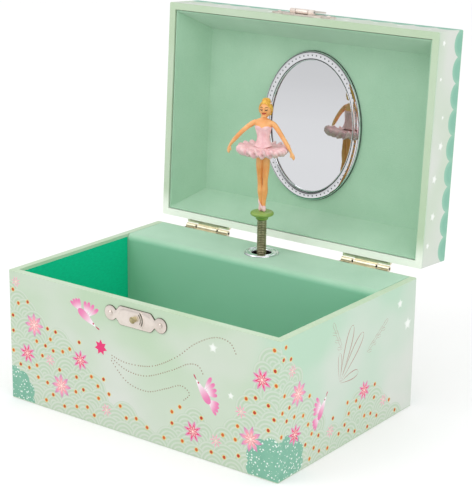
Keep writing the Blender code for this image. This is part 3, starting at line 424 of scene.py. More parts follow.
def ring_at(centre, across, up, wide, deep, count):
    return [centre + across * (wide * math.cos(a)) + up * (deep * math.sin(a)) for a in angles(count)]


def lathe(profile, centre=(0, 0, 0), count=72, axis="Z", into=None):
    """A closed (radius, height) profile turned about an axis."""
    u, v, w = {
        "X": (Y_AXIS, Z_AXIS, X_AXIS), "Y": (X_AXIS, Z_AXIS, Y_AXIS), "Z": (X_AXIS, Y_AXIS, Z_AXIS),
    }[axis]
    origin = Vector(centre)
    rings = []
    for a in angles(count):
        out = u * math.cos(a) + v * math.sin(a)
        rings.append([origin + out * max(r, 0.002) + w * h for r, h in profile])
    return skin(rings, closed=True, into=into)


def rounded(points, radius, steps):
    """A closed outline with each corner turned into a short curve."""
    soft = []
    for k, point in enumerate(points):
        here = Vector(point)
        before, after = Vector(points[k - 1]) - here, Vector(points[(k + 1) % len(points)]) - here
        reach = min(radius, before.length / 2.01, after.length / 2.01)
        start, end = here + before.normalized() * reach, here + after.normalized() * reach
        for n in range(steps + 1):
            t = n / steps
            soft.append(start * (1 - t) ** 2 + here * (2 * t * (1 - t)) + end * t**2)
    return [tuple(p) for p in soft]


def smooth_path(points, steps):
    """Catmull-Rom points through the given ones, which may be tuples of any length."""
    full = [points[0], *points, points[-1]]
    path = []
    for k in range(1, len(full) - 2):
        a, b, c, d = [Vector(p) for p in full[k - 1:k + 3]]
        second = a * 2 - b * 5 + c * 4 - d
        third = b * 3 - a - c * 3 + d
        for n in range(steps):
            t = n / steps
            path.append(0.5 * (b * 2 + (c - a) * t + second * t**2 + third * t**3))
    path.append(Vector(points[-1]))
    return path


def tube(points, count=16, steps=5, into=None):
    """A limb through (x, y, z, half width) points, which may also give a half depth."""
    rows = [(*p, p[3]) if len(p) == 4 else p for p in points]
    places = smooth_path([row[:3] for row in rows], steps)
    sizes = smooth_path([(row[3], row[4]) for row in rows], steps)
    rings = []
    for k, (place, size) in enumerate(zip(places, sizes)):
        ahead = (places[min(k + 1, len(places) - 1)] - places[max(k - 1, 0)]).normalized()
        across = ahead.cross(Y_AXIS).normalized()
        up = across.cross(ahead).normalized()
        rings.append(ring_at(place, across, up, size[0], size[1], count))
    return skin(rings, into=into)


def loft(sections, count=32, steps=5):
    """Level oval sections through (height, half width, half depth, forward shift) rows."""
    rings = []
    for z, wide, deep, shift in [tuple(v) for v in smooth_path(sections, steps)]:
        rings.append([Vector((wide * math.cos(a), deep * math.sin(a) - shift, z)) for a in angles(count)])
    return skin(rings)


def egg(centre, size, count, levels, into, shape=None):
    """A rounded body. shape(t) widens or narrows it from its foot, t 0, to its top, t 1."""
    rings = []
    for k in range(1, levels):
        polar = math.pi * k / levels
        z = -math.cos(polar)
        wide = math.sin(polar) * (shape((z + 1) / 2) if shape else 1.0)
        middle = Vector(centre) + Vector((0, 0, size[2] * z))
        rings.append(ring_at(middle, X_AXIS, Y_AXIS, size[0] * wide, size[1] * wide, count))
    skin(rings, into=into)


def stacked(levels, into=None):
    """Outlines of equal count in (x, z), each at its own y, as one closed body."""
    return skin([[Vector((x, y, z)) for x, z in outline] for outline, y in levels], into=into)


def sculpt(name, bm, material, relax, replaced):
    """Overlapping closed bodies of the dancer melted into one smooth skin."""
    obj = obj_from(name, bm, material, FIGURE)
    melt(obj, 0.17)
    relaxed = obj.modifiers.new("relax", "SMOOTH")
    relaxed.factor = 0.5
    relaxed.iterations = relax
    bpy.context.view_layer.update()
    apply_modifiers(obj)
    obj.data.shade_smooth()
    if not obj.data.materials:
        obj.data.materials.append(material)
    settle(obj, "ballerina", "skin_plastic", replaced)


# ---------------------------------------------------------------- printed sheets


CORNER_R = 0.6
CORNER_ARC = CORNER_R * TAU / 8


class Sheet:
    """A printed sheet's motifs, in millimetres from its lower left corner seen from outside."""

    def __init__(self, width, height, seed):
        self.width, self.height = width, height
        self.random = random.Random(seed)
        self.outlines = [[(0, 0), (width, 0), (width, height), (0, height)]]
        self.marks = [None]
        self.taken = []
        for k in range(4):
            for start in (k * CORNER_ARC / 4, width - (k + 1) * CORNER_ARC / 4):
                end = start + CORNER_ARC / 4
                self.draw([(start, 0), (end, 0), (end, height), (start, height)], None)

    def draw(self, outline, mark):
        self.outlines.append(outline)
        self.marks.append(mark)

    def disc(self, s, h, r, count):
        return [(s + r * math.cos(a), h + r * math.sin(a)) for a in angles(count)]

    def hole(self, s, h, r):
        self.draw(self.disc(s, h, r, 24), ("hole",))

    def mound(self, s, h, r):
        self.draw(self.disc(s, h, r, 36), ("mound", s, h, r))

    def bush(self, s, h, r, lobes=10):
        outline = []
        for a in angles(lobes * 8):
            reach = r * (0.97 + 0.12 * abs(math.sin(lobes * a / 2)) ** 0.8)
            outline.append((s + reach * math.cos(a), h + reach * math.sin(a)))
        self.taken.append((s, h, r + 0.5))
        self.draw(outline, ("mound", s, h, -r * 1.12))

    def motif(self, kind, s, h, wide, tall=None, turn=0.0, outline=None):
        """A motif whose own coordinates run from -1 to 1 across wide and tall."""
        tall = tall or wide
        c, n = math.cos(turn), math.sin(turn)
        points = outline or self.disc(0, 0, 1.0, 12 if wide < 2 else 20)
        placed = [(s + c * x * wide - n * y * tall, h + n * x * wide + c * y * tall) for x, y in points]
        self.draw(placed, ("motif", kind, s, h, wide, tall, c, n))

    def flower(self, kind, s, h, r, turn):
        self.taken.append((s, h, r))
        self.motif(kind, s, h, r, turn=turn)

    def star(self, kind, s, h, r, points=5, depth=0.45):
        outline = []
        for k in range(points * 2):
            reach = 1.0 if k % 2 == 0 else depth
            a = TAU * k / points / 2
            outline.append((reach * math.cos(a), reach * math.sin(a)))
        self.taken.append((s, h, r))
        self.motif(kind, s, h, r, turn=TAU / 4, outline=outline)

    def leaf(self, kind, s, h, length, width, turn):
        """A feather or leaf that starts at (s, h), narrow at its foot and round at its tip."""
        along = [-math.cos(TAU * k / 32) for k in range(17)]
        side = [(x, -math.sqrt(max(0.0, 1 - x * x)) * (0.6 + 0.4 * x)) for x in along]
        outline = side + [(x, -y) for x, y in side[-2:0:-1]]
        middle = (s + math.cos(turn) * length / 2, h + math.sin(turn) * length / 2)
        self.motif(kind, *middle, length / 2, width / 2, turn, outline)

    def trail(self, points, gap=1.3):
        """Small specks along a soft curve."""
        path = smooth_path(points, 24)
        left = 0.0
        for one, other in zip(path, path[1:]):
            left += (other - one).length
            if left >= gap:
                left = 0.0
                self.motif(SPECK, other.x, other.y, 0.34, outline=self.disc(0, 0, 1, 6))

    def bird(self, s, h, size, heading, flip=1):
        """A small plain bird: tail and wing feathers, a plump body, a beak and an eye."""
        c, n = math.cos(heading), math.sin(heading)

        def spot(along, above):
            above *= flip
            return s + size * (c * along - n * above), h + size * (n * along + c * above)

        def feather(kind, along, above, length, width, turn):
            self.leaf(kind, *spot(along, above), size * length, size * width, heading + flip * turn)

        for k in range(4):
            feather(FEATHER, -0.3, 0.02, 0.85 - 0.05 * k, 0.26, 3.2 - 0.26 * k)
        for k in range(4):
            feather(FEATHER, 0.12 - 0.06 * k, 0.1, 0.9 - 0.07 * k, 0.3, 1.25 + 0.3 * k)
        feather(FEATHER, 0.8, 0.08, 1.35, 0.62, 3.2)
        feather(BEAD, 0.72, 0.08, 0.32, 0.11, 0.15)
        self.motif(BEAD, *spot(0.58, 0.1), size * 0.05)
        self.taken.append((s, h, size))

    def sprig(self, s, h):
        """Line-drawn plain leaves with round tips, and a loose spray of small leaves at each side."""
        for turn, length, width in ((0.06, 15.6, 6.0), (0.79, 26.9, 7.5), (1.2, 26.9, 8.0), (1.6, 14.4, 4.5)):
            self.leaf(LEAF, s, h, length, width, turn)
        for start, rise, lean, count in (((1.2, 15.9), 2.07, -0.7, 3), ((22.4, 8.3), 0.57, 0.6, 4)):
            for k in range(count):
                along = 4.6 * k
                foot = (s + start[0] + along * math.cos(rise), h + start[1] + along * math.sin(rise))
                self.leaf(LEAF, *foot, 7.5, 2.6, rise)
                self.leaf(LEAF, *foot, 4.2, 1.9, rise - lean)

    def hills(self, top, step=4.6, gap=10.5):
        """Overlapping mounds wherever they stay under the outline top(s), the lowest in front."""
        row, h = 0, 58.0
        while h > -5:
            s = -5 + (gap / 2 if row % 2 else 0)
            while s < self.width + 6:
                r = self.random.uniform(5.6, 8.6)
                x = s + self.random.uniform(-1.6, 1.6)
                if h + 0.8 * r <= top(min(max(x, 0), self.width)):
                    self.mound(x, h, r)
                s += gap
            row += 1
            h -= step

    def berries(self, top, count, r=1.2):
        """Dots scattered over the hills, clear of the flowers and of each other."""
        made = 0
        for _ in range(4000):
            if made == count:
                return
            s = self.random.uniform(1.5, self.width - 1.5)
            h = self.random.uniform(1.8, 64.0)
            if h > top(s) + 1.0 or h > self.height - 2:
                continue
            if all(math.hypot(s - x, h - y) > size + 1.7 for x, y, size in self.taken):
                self.taken.append((s, h, 3.4))
                self.motif(DOT, s, h, r)
                made += 1

    def bent(self, s, h, origin, right, up, proud):
        """A sheet point's place and normal. The sheet's two ends bend round the box's corners."""
        out = right.cross(up)
        over = max(CORNER_ARC - s, s - (self.width - CORNER_ARC), 0.0) / CORNER_R
        flat = min(max(s, CORNER_ARC), self.width - CORNER_ARC)
        side = 1 if s > CORNER_ARC else -1
        radius = CORNER_R + proud
        along = flat + side * radius * math.sin(over)
        normal = out * math.cos(over) + right * (side * math.sin(over))
        level = out * (radius * math.cos(over) - CORNER_R)
        return origin + right * along + up * h + level, normal

    def mesh(self, origin, right, up, depth=0.14, proud=0.05):
        """A closed slab let into the wrap under it, with each face's mound and motif as attributes."""
        corners, faces = [], []
        for outline in self.outlines:
            faces.append(list(range(len(corners), len(corners) + len(outline))))
            corners += [Vector(p) for p in outline]
        points, _, triangles, _, _, owners = delaunay_2d_cdt(corners, [], faces, 1, 1e-5)
        sides = Vector(origin), Vector(right), Vector(up)
        bm = bmesh.new()
        mound_layer = bm.loops.layers.float_vector.new("mound")
        motif_layer = bm.loops.layers.float_vector.new("motif")
        front, back = {}, {}
        for triangle, owned in zip(triangles, owners):
            found = {self.marks[k][0]: self.marks[k] for k in sorted(owned) if self.marks[k]}
            if 0 not in owned or "hole" in found:
                continue
            for k in triangle:
                if k not in front:
                    place, normal = self.bent(*points[k], *sides, proud)
                    front[k] = bm.verts.new(place)
                    back[k] = bm.verts.new(place - normal * depth)
            face = bm.faces.new([front[k] for k in triangle])
            bm.faces.new([back[k] for k in reversed(triangle)])
            mound, motif = found.get("mound"), found.get("motif")
            for loop, k in zip(face.loops, triangle):
                x, y = points[k]
                if mound:
                    loop[mound_layer] = (x - mound[1], y - mound[2], mound[3])
                if motif:
                    _, kind, s, h, wide, tall, c, n = motif
                    dx, dy = x - s, y - h
                    loop[motif_layer] = ((c * dx + n * dy) / wide, (c * dy - n * dx) / tall, kind)
        matching = {front[k]: back[k] for k in front}
        for edge in [e for e in bm.edges if len(e.link_faces) == 1 and e.verts[0] in matching]:
            loop = edge.link_loops[0]
            a, b = loop.vert, loop.link_loop_next.vert
            bm.faces.new((b, a, matching[a], matching[b]))
        return bm


def skyline(*points):
    """The height of a row of hills along a sheet, through (s, h) points."""
    def top(s):
        for (s0, h0), (s1, h1) in zip(points, points[1:]):
            if s <= s1:
                return h0 + (h1 - h0) * (s - s0) / (s1 - s0)
        return points[-1][1]
    return top


def front_art(width, height):
    """Flowering hills in both lower corners, two small birds, and a star with three curling trails."""
    art = Sheet(width, height, 4)
    top = skyline((0, 60), (10, 52), (24, 42), (40, 42), (52, 32), (62, 20), (84, 10), (92, 7), (100, 18),
                  (112, 24), (124, 17), (133, 22), (142, 34), (151, 54), (160, 64))
    art.hills(top)
    art.bush(2.0, 3.0, 12.5)
    art.bush(width - 3.5, 6.0, 12.8)
    for kind, s, h, r in (
        (BIG, 16, 40.5, 6.2), (DEEP, 11, 25, 5.2), (SMALL, 26, 25, 3.3), (DEEP, 45.5, 29.5, 5.2),
        (BIG, 33, 13.5, 6.3), (SMALL, 61.5, 8.5, 3.4), (SMALL, 4.5, 60, 3.0), (DEEP, 113, 11.5, 5.4),
        (SMALL, 126, 10.5, 3.5), (SMALL, 139.5, 28, 3.4), (BIG, 145, 16.5, 6.4), (DEEP, 150.5, 45.5, 5.4),
    ):
        art.flower(kind, s, h, r, s * 0.37)
    art.star(STAR, 58.5, 39.0, 3.9, points=7, depth=0.58)
    art.star(SPARKLE, 124, 54, 3.0)
    art.star(SPARKLE, 134, 34, 2.2)
    art.bird(49, 52, 9.5, -0.6)
    art.bird(119, 31, 9.5, 2.3, flip=-1)
    art.trail([(64, 37), (74, 35), (89, 37), (103, 44.5), (114, 53.5), (125, 59), (133, 58.5), (136.5, 54)])
    art.trail([(64, 36), (74, 31.5), (86, 31.5), (101, 38), (110, 43), (116, 43.5), (119, 39.5)])
    art.trail([(64, 35), (74, 26), (86, 24), (97, 28), (106, 31.8), (111, 29), (107.5, 25)])
    art.berries(top, 62)
    return art


def right_art(width, height):
    """The hills carry on round the corner, with a line-drawn sprig, a bird and two sparkles."""
    art = Sheet(width, height, 9)
    top = skyline((0, 64), (9, 58), (14, 44), (24, 34), (34, 18), (46, 14), (56, 22), (68, 26), (84, 18),
                  (96, 8), (100, 2), (113, 0))
    art.hills(top)
    art.bush(6.0, 7.0, 12.2)
    for kind, s, h, r in (
        (BIG, 14, 37, 6.2), (SMALL, 9, 49, 3.3), (DEEP, 12, 18.5, 5.2), (DEEP, 68.5, 21.5, 5.0),
        (SMALL, 86, 11, 3.3), (SMALL, 40.5, 10.5, 3.3),
    ):
        art.flower(kind, s, h, r, s * 0.41)
    art.sprig(47.1, 31.7)
    art.bird(33, 23, 8.5, 0.95)
    art.star(SPARKLE, 98, 56, 3.0)
    art.star(SPARKLE, 106, 44, 4.0)
    art.berries(top, 36)
    return art


def side_art(width, height, seed):
    """The left and rear sides: lower hills with a few flowers."""
    art = Sheet(width, height, seed)
    top = skyline((0, 46), (width * 0.16, 34), (width * 0.34, 14), (width * 0.55, 22), (width * 0.7, 14),
                  (width * 0.86, 36), (width, 50))
    art.hills(top)
    art.bush(2.0, 2.0, 11.0)
    art.bush(width - 2.0, 2.0, 11.0)
    for k in range(int(width / 19)):
        s = 12 + 19 * k + art.random.uniform(-2, 2)
        kind, r = ((DEEP, 5.2), (SMALL, 3.3), (BIG, 6.2))[k % 3]
        art.flower(kind, s, max(r + 2, top(s) - art.random.uniform(2, 12)), r, k)
    for k in range(4):
        art.star(SPARKLE, width * (0.16 + 0.22 * k), 50 + 5 * (k % 2), 2.6)
    art.berries(top, int(width / 4))
    return art


def scallops(art, length, place, pitch=12.0, r=6.7):
    """Teal scallops along an edge. place(t) gives the point at a distance along it."""
    count = round(length / pitch)
    for k in range(count):
        art.motif(SCALLOP, *place((k + 0.5) * length / count), r, outline=art.disc(0, 0, 1, 28))


def lid_side_art(width, height, seed):
    """Scallops along the lid's upper edge, with sparkles scattered under them."""
    art = Sheet(width, height, seed)
    scallops(art, width, lambda t: (t, height - 0.7))
    spots = int(width / 15)
    for k in range(spots):
        s = width * (k + 0.5) / spots + art.random.uniform(-3, 3)
        art.star(SPARKLE, s, art.random.uniform(4, 11), art.random.choice((1.5, 2.1, 2.9)))
    return art


def lid_top_art(width, height):
    """Guessed, as the lid's top faces away: a scalloped teal border round flowering hills and two birds."""
    art = Sheet(width, height, 21)
    top = skyline((0, 50), (30, 44), (58, 30), (86, 40), (116, 28), (140, 40), (160, 52))
    art.hills(top)
    for k in range(12):
        s = 14 + 12 * k
        kind, r = ((DEEP, 5.4), (SMALL, 3.4), (BIG, 6.6))[k % 3]
        art.flower(kind, s, 14 + (top(s) - 20) * art.random.random(), r, k * 1.3)
    art.bird(58, 76, 11, -0.3)
    art.bird(104, 84, 11, 3.5, flip=-1)
    for s, h in ((30, 82), (80, 92), (130, 70), (45, 60), (120, 96)):
        art.star(SPARKLE, s, h, 3.4)
    art.trail([(66, 72), (80, 64), (96, 68), (112, 62), (132, 66)])
    art.berries(top, 60)
    for edge in (0.0, 1.0):
        scallops(art, width, lambda t: (t, height * edge))
        scallops(art, height, lambda t: (width * edge, t))
    return art


def print_the_box():
    paper = printed_art("printed_art")
    margin = CORNER_R - CORNER_ARC
    w, d = BOX_W - 2 * margin, BOX_D - 2 * margin
    x, y = BOX_W / 2, BOX_D / 2
    edge = 0.35
    tall = BASE_H - 2 * edge
    rear = side_art(w, tall, 7)
    rear.hole(w / 2 - SPINDLE.x, KEY_Z - edge, KEY_HOLE_R)
    sides = (
        ("front", front_art(w, tall), (-w / 2, -y), (1, 0, 0)),
        ("right", right_art(d, tall), (x, -d / 2), (0, 1, 0)),
        ("left", side_art(d, tall, 5), (-x, d / 2), (0, -1, 0)),
        ("rear", rear, (w / 2, y), (-1, 0, 0)),
    )

    def stick(name, sheet, body, origin, right, up=(0, 0, 1)):
        piece(name, sheet.mesh(origin, right, up), paper, body, "printed_paper", smooth=20)

    for name, sheet, corner, right in sides:
        stick(f"{name}_print", sheet, "root", (*corner, edge), right)
    for seed, (name, below, corner, right) in enumerate(sides, 30):
        sheet = lid_side_art(below.width, LID_H - 2 * edge, seed)
        stick(f"lid_{name}_print", sheet, "lid", (*corner, LID_Z + edge), right)
    stick("lid_top_print", lid_top_art(w, d), "lid", (-w / 2, -d / 2, LID_Z + LID_H), (1, 0, 0), (0, 1, 0))


# ---------------------------------------------------------------- padded floor


def blow_up(pad):
    """Presses the pad's cloth outwards, as wadding does."""
    cloth = pad.modifiers.new("wadding", "CLOTH")
    cloth.settings.use_pressure = True
    cloth.settings.uniform_pressure_force = 4.0
    cloth.settings.mass = 0.15
    cloth.settings.quality = 5
    cloth.settings.effector_weights.gravity = 0.0
    for step in range(1, 21):
        bpy.context.scene.frame_set(step)
    apply_modifiers(pad)
    bpy.context.scene.frame_set(1)


def padded_floor(material):
    """Thin wadding under flocked cloth, blown up a little so that it crowns between its edges."""
    low, high = span("floor_pad")
    inset, sink, crown, weave = 0.25, 0.4, 1.3, 1.7
    bm = bmesh.new()
    bmesh.ops.create_cube(bm, size=1.0)
    size = high - low - Vector((2 * inset, 2 * inset, sink))
    bmesh.ops.scale(bm, vec=size, verts=bm.verts)
    bmesh.ops.translate(bm, vec=(low + high) / 2, verts=bm.verts)
    pad = obj_from("compartment_pad", bm, material)
    melt(pad, weave)
    bpy.context.view_layer.update()
    apply_modifiers(pad)
    rest = [v.co.copy() for v in pad.data.vertices]
    blow_up(pad)
    reach = crown * MM
    middle, half = (low + high) / 2 * MM, (high - low) / 2 * MM
    for vert, start in zip(pad.data.vertices, rest):
        move = vert.co - start
        if move.length > reach:
            move = move.normalized() * reach
        edge = max(abs(start.x - middle.x) / half.x, abs(start.y - middle.y) / half.y)
        rise = move.z if start.z > middle.z else 0.0
        vert.co = start + Vector((0, 0, max(rise, 0.0) * min(1.0, (1 - edge) * 12)))
    soft = pad.modifiers.new("soft", "SUBSURF")
    soft.levels = soft.render_levels = 1
    pad.data.shade_smooth()
    settle(pad, "root", "pad_cloth", "floor_pad")


# ---------------------------------------------------------------- mirror and hardware


MIRROR_HALF = Vector((29.65, 38.25))


def oval_point(angle, inset, z=0.0):
    return Vector(((MIRROR_HALF.x - inset) * math.cos(angle), (MIRROR_HALF.y - inset) * math.sin(angle), z))


def oval_ring(profile):
    """A closed loop of (inset, height) points carried round the mirror's oval."""
    return [[oval_point(a, inset, height) for inset, height in profile] for a in angles(140)]


def mirror_frame(silver, lines, dots):
    """The oval mirror's flat silvered border, with dark lines round it, the outermost a painted contact
    shadow where it meets the lining, and a ring of grey dots painted as the shade of its dimples.
    """
    front, back = LID_Z + 17.8, LID_Z + 19.4
    profile = rounded([
        (0.0, back), (0.05, front + 0.3), (0.25, front + 0.02), (0.5, front), (3.75, front),
        (3.9, front + 0.25), (4.1, front + 0.25), (4.25, front), (4.5, front), (4.7, front + 0.3),
        (4.7, front + 0.8), (0.9, front + 0.8), (0.9, back),
    ], 0.06, 2)
    bm = skin(oval_ring(profile), closed=True)
    piece("mirror_border", bm, silver, "lid", "chrome", "mirror_frame", smooth=25)
    bm = bmesh.new()
    # painted shadow: the first dark ring, at the border's outer edge by the lining, stands for the contact
    # shadow there
    for inset, height, r in ((-0.02, back - 0.2, 0.2), (0.66, front, 0.13), (4.0, front + 0.22, 0.14)):
        section = [(inset + r * math.cos(a), height + r * math.sin(a)) for a in angles(6)]
        skin(oval_ring(section), closed=True, into=bm)
    piece("mirror_lines", bm, lines, "lid", "chrome", smooth=50)
    bm = bmesh.new()
    # painted shade: grey dots stand in for the dark look of the border's dimples
    inset, count = 2.2, 78
    fine = [oval_point(TAU * k / 2000, inset) for k in range(2001)]
    total = sum((b - a).length for a, b in zip(fine, fine[1:]))
    around = 0.0
    for a, b in zip(fine, fine[1:]):
        around += (b - a).length
        if around >= total / count - 1e-6:
            around -= total / count
            egg((b.x, b.y, front), (0.44, 0.44, 0.12), 12, 6, bm)
    piece("mirror_dots", bm, dots, "lid", "chrome", smooth=50)


def mirror_plate(silver):
    """The glass, which sits a little askew in its border."""
    front, back, lean, rim = LID_Z + 18.55, LID_Z + 19.3, 0.014, 0.9
    rings = []
    for level, grow in ((0.0, -0.3), (0.12, 0.0)):
        ring = [oval_point(a, rim - grow) for a in angles(96)]
        rings.append([Vector((p.x, p.y, front + level - lean * p.x)) for p in ring])
    rings.append([oval_point(a, rim, back) for a in angles(96)])
    piece("mirror_plate", skin(rings), silver, "lid", "mirror", "mirror_glass", smooth=20)


def eyelet(material):
    """The broad chrome ring round the dancer's hole, with a ridge near its edge and an open throat."""
    foot = span("grommet")[0].z
    top, hole, r = BASE_H + 0.1, 5.0, 8.9
    profile = rounded([
        (r, top), (r - 0.1, top + 0.3), (r - 0.6, top + 0.8), (r - 1.2, top + 0.8), (r - 1.6, top + 0.45),
        (r - 2.1, top + 0.4), (hole + 0.8, top + 0.6), (hole + 0.15, top + 0.45), (hole, top), (hole, foot),
        (hole + 1.2, foot), (hole + 1.2, foot + 0.6), (hole + 0.3, foot + 0.6), (hole + 0.3, top),
    ], 0.25, 4)
    bm = lathe(profile, (SPINDLE.x, SPINDLE.y, 0), 96)
    piece("eyelet", bm, material, "root", "chrome", "grommet")


KNUCKLE_R = 1.45
KNUCKLE_LEN = 6.2
HINGE_HALF = 13.7
LEAF_H = 10.6


def knuckle(bm, centre, low, high, seam):
    """A rolled barrel about the hinge's axis, with chamfered ends and, if asked, a fine seam half-way."""
    r, inner, edge = KNUCKLE_R, 0.7, 0.15
    profile = [(inner, low), (r - edge, low), (r, low + edge)]
    if seam:
        mid = (low + high) / 2
        profile += [(r, mid - 0.16), (r - 0.2, mid - 0.05), (r - 0.2, mid + 0.05), (r, mid + 0.16)]
    profile += [(r, high - edge), (r - edge, high), (inner, high)]
    lathe(profile, centre, 32, "X", into=bm)


def hinge_leaf(side, x, part, material):
    """One leaf: a nailed plate on the outside of the rear wall, webs, and barrels round the pin."""
    body, up = {"base": ("root", -1), "lid": ("lid", 1)}[part]
    centre = Vector((x, HINGE.y, HINGE.z))
    outer, inner = BOX_D / 2 + 0.1 - HINGE.y, BOX_D / 2 + 0.8 - HINGE.y
    bm = bmesh.new()

    def plate(grow):
        half, high = HINGE_HALF + grow, LEAF_H + grow
        corners = rounded([(-half, 0.4), (half, 0.4), (half, high), (-half, high)], 1.4, 5)
        return [(x + s, centre.z + up * h) for s, h in corners]

    levels = (0, outer), (0, inner - 0.15), (-0.15, inner)
    stacked([(plate(grow), centre.y + y) for grow, y in levels], bm)
    inside = HINGE_HALF - KNUCKLE_LEN - 1.0
    ends = (-HINGE_HALF, KNUCKLE_LEN - HINGE_HALF), (HINGE_HALF - KNUCKLE_LEN, HINGE_HALF)
    lip = [(outer, 0.4), (-1.75, 0.4), (-1.75, 1.0), (inner, 1.9), (outer, 1.9)]
    web = [(outer, 0.4), (-1.2, 0.4), (-0.6, 1.3), (inner, 2.6), (outer, 2.6)]
    rows = [(lip, -HINGE_HALF, HINGE_HALF)]
    for low, high in [(-inside, inside)] if up > 0 else ends:
        knuckle(bm, centre, low, high, up > 0)
        rows.append((web, low, high))
    for section, low, high in rows:
        rings = [[Vector((x + s, centre.y + y, centre.z + up * z)) for y, z in section] for s in (low, high)]
        skin(rings, into=bm)
    for s in (-0.68, 0.0, 0.68):
        egg((x + s * HINGE_HALF, centre.y + inner, centre.z + up * 7.6), (0.95, 0.4, 0.95), 16, 8, bm)
    piece(f"{side}_hinge_{part}_leaf", bm, material, body, "nickel", f"hinge_{side}_{part}_leaf", smooth=35)


def hinges(material):
    for side, x in (("left", -HINGE_X), ("right", HINGE_X)):
        for part in ("base", "lid"):
            hinge_leaf(side, x, part, material)


def lugged_plate(grow, z):
    """The latch plate's (x, z) outline about a height: a broad middle with a round lug at each end."""
    half_w, half_h, lug_x, lug_r, neck = 9.2, 4.6, 14.7, 3.7, 2.0
    neck_x = lug_x - 3.2
    right = [(half_w + grow, -half_h - grow), (neck_x + grow, -neck - grow)]
    for k in range(15):
        a = math.radians(-145 + 290 * k / 14)
        right.append((lug_x + (lug_r + grow) * math.cos(a), (lug_r + grow) * math.sin(a)))
    right += [(neck_x + grow, neck + grow), (half_w + grow, half_h + grow)]
    return [(x, h + z) for x, h in rounded(right + [(-x, -h) for x, h in right], 0.8, 3)]


def ridges(bm, radii, start, sweep, thick, y, z):
    """Short raised arcs about the middle of the latch plate, thin at their ends."""
    for radius in radii:
        arc = []
        for k in range(9):
            a = math.radians(start + sweep * k / 8)
            arc.append((radius * math.cos(a), y, z + radius * math.sin(a), thick if 0 < k < 8 else 0.05))
        tube(arc, 8, 3, into=bm)


def catch_plate(material, edge_shade_material, stud_material):
    """The base's latch plate: a soft pressed face with round lugs, dark edges and two dark arcs that are
    painted shade, a catch and two ridges.
    """
    low, high = span("latch_base_plate")
    back, z = high.y, (low.z + high.z) / 2
    face = back - 0.7
    # painted shade: this dark mesh, the plate's rim with two arcs on its face, stands for the shade along the
    # plate's edges and beside its ridges
    levels = (0, back), (0, face + 0.35), (-0.12, face + 0.3)
    bm = stacked([(lugged_plate(grow, z), y) for grow, y in levels])
    ridges(bm, (3.5, 4.7), -36, 88, 0.2, face - 0.16, z)
    piece("latch_plate_edge_shade", bm, edge_shade_material, "root", "nickel", smooth=35)
    levels = (-0.14, back - 0.1), (-0.14, face + 0.26), (-0.5, face + 0.12)
    bm = stacked([(lugged_plate(grow, z), y) for grow, y in levels])
    corners = [(-9.6, -2.6), (-6.4, -3.9), (6.4, -3.9), (9.6, -2.6), (9.6, 2.6), (6.4, 3.9), (-6.4, 3.9),
               (-9.6, 2.6)]
    raised = []
    for grow, y in ((0.0, face + 0.2), (-0.5, face - 0.05), (-1.0, face - 0.15)):
        shrink = [(x * (1 + grow / 9.6), h * (1 + grow / 3.9) + z) for x, h in corners]
        raised.append((rounded(shrink, 1.2, 4), y))
    stacked(raised, into=bm)
    ridges(bm, (4.1, 5.3), -40, 92, 0.34, face - 0.14, z)
    piece("latch_catch_plate", bm, material, "root", "nickel", "latch_base_plate", smooth=35)
    stud = rounded([
        (0, face - 2.2), (1.1, face - 2.2), (1.6, face - 1.9), (1.65, face - 1.45), (1.15, face - 1.1),
        (1.2, face - 0.25), (1.6, face + 0.1), (0, face + 0.1),
    ], 0.3, 3)
    bm = lathe(stud, (0, 0, z), 32, "Y")
    piece("latch_catch_stud", bm, stud_material, "root", "nickel", smooth=35)


def coil_spring(material):
    """The close-wound spring under the dancer."""
    low, high = 63.2, 82.9
    coil_r, wire_r, pitch, per_turn = 2.0, 0.42, 0.88, 18
    count = int((high - low) / pitch * per_turn)
    rings = []
    for k in range(count + 1):
        a = TAU * k / per_turn
        out = Vector((math.cos(a), math.sin(a), 0))
        centre = Vector((SPINDLE.x, SPINDLE.y, low + pitch * k / per_turn)) + out * coil_r
        rings.append(ring_at(centre, out, Z_AXIS, wire_r, wire_r, 8))
    spring = obj_from("dancer_coil", skin(rings), material, smooth=60)
    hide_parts("dancer_spring")
    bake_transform(spring)


# ---------------------------------------------------------------- dancer


# Rows of height, half width, half depth and forward shift, from the hips to the neck
TORSO = [
    (117.5, 2.6, 2.0, 0.0), (119.6, 4.6, 3.4, 0.0), (121.4, 3.9, 3.0, 0.0), (123.4, 3.05, 2.45, 0.0),
    (125.2, 2.75, 2.3, 0.0), (127.4, 3.25, 2.7, 0.15), (129.6, 3.9, 3.1, 0.4), (131.2, 4.2, 2.7, 0.2),
    (132.6, 4.5, 2.1, 0.0), (133.7, 3.4, 1.8, 0.0), (134.4, 1.8, 1.5, 0.0), (135.2, 1.35, 1.35, 0.0),
    (136.6, 1.3, 1.3, 0.2),
]
HEAD_X = 0.9
HEAD_Z = 138.9
HEAD_W, HEAD_D, HEAD_H = 3.15, 3.6, 4.2


def torso_half(z):
    """(half width, half depth, forward shift) of the torso at a height."""
    for low, high in zip(TORSO, TORSO[1:]):
        if z <= high[0]:
            t = max(0.0, (z - low[0]) / (high[0] - low[0]))
            return [a + (b - a) * t for a, b in zip(low[1:], high[1:])]
    return TORSO[-1][1:]


def jaw(t):
    """Narrows the head below its middle to a small round chin."""
    return 0.8 + 0.2 * min(1.0, t / 0.45) if t < 0.45 else 1.0


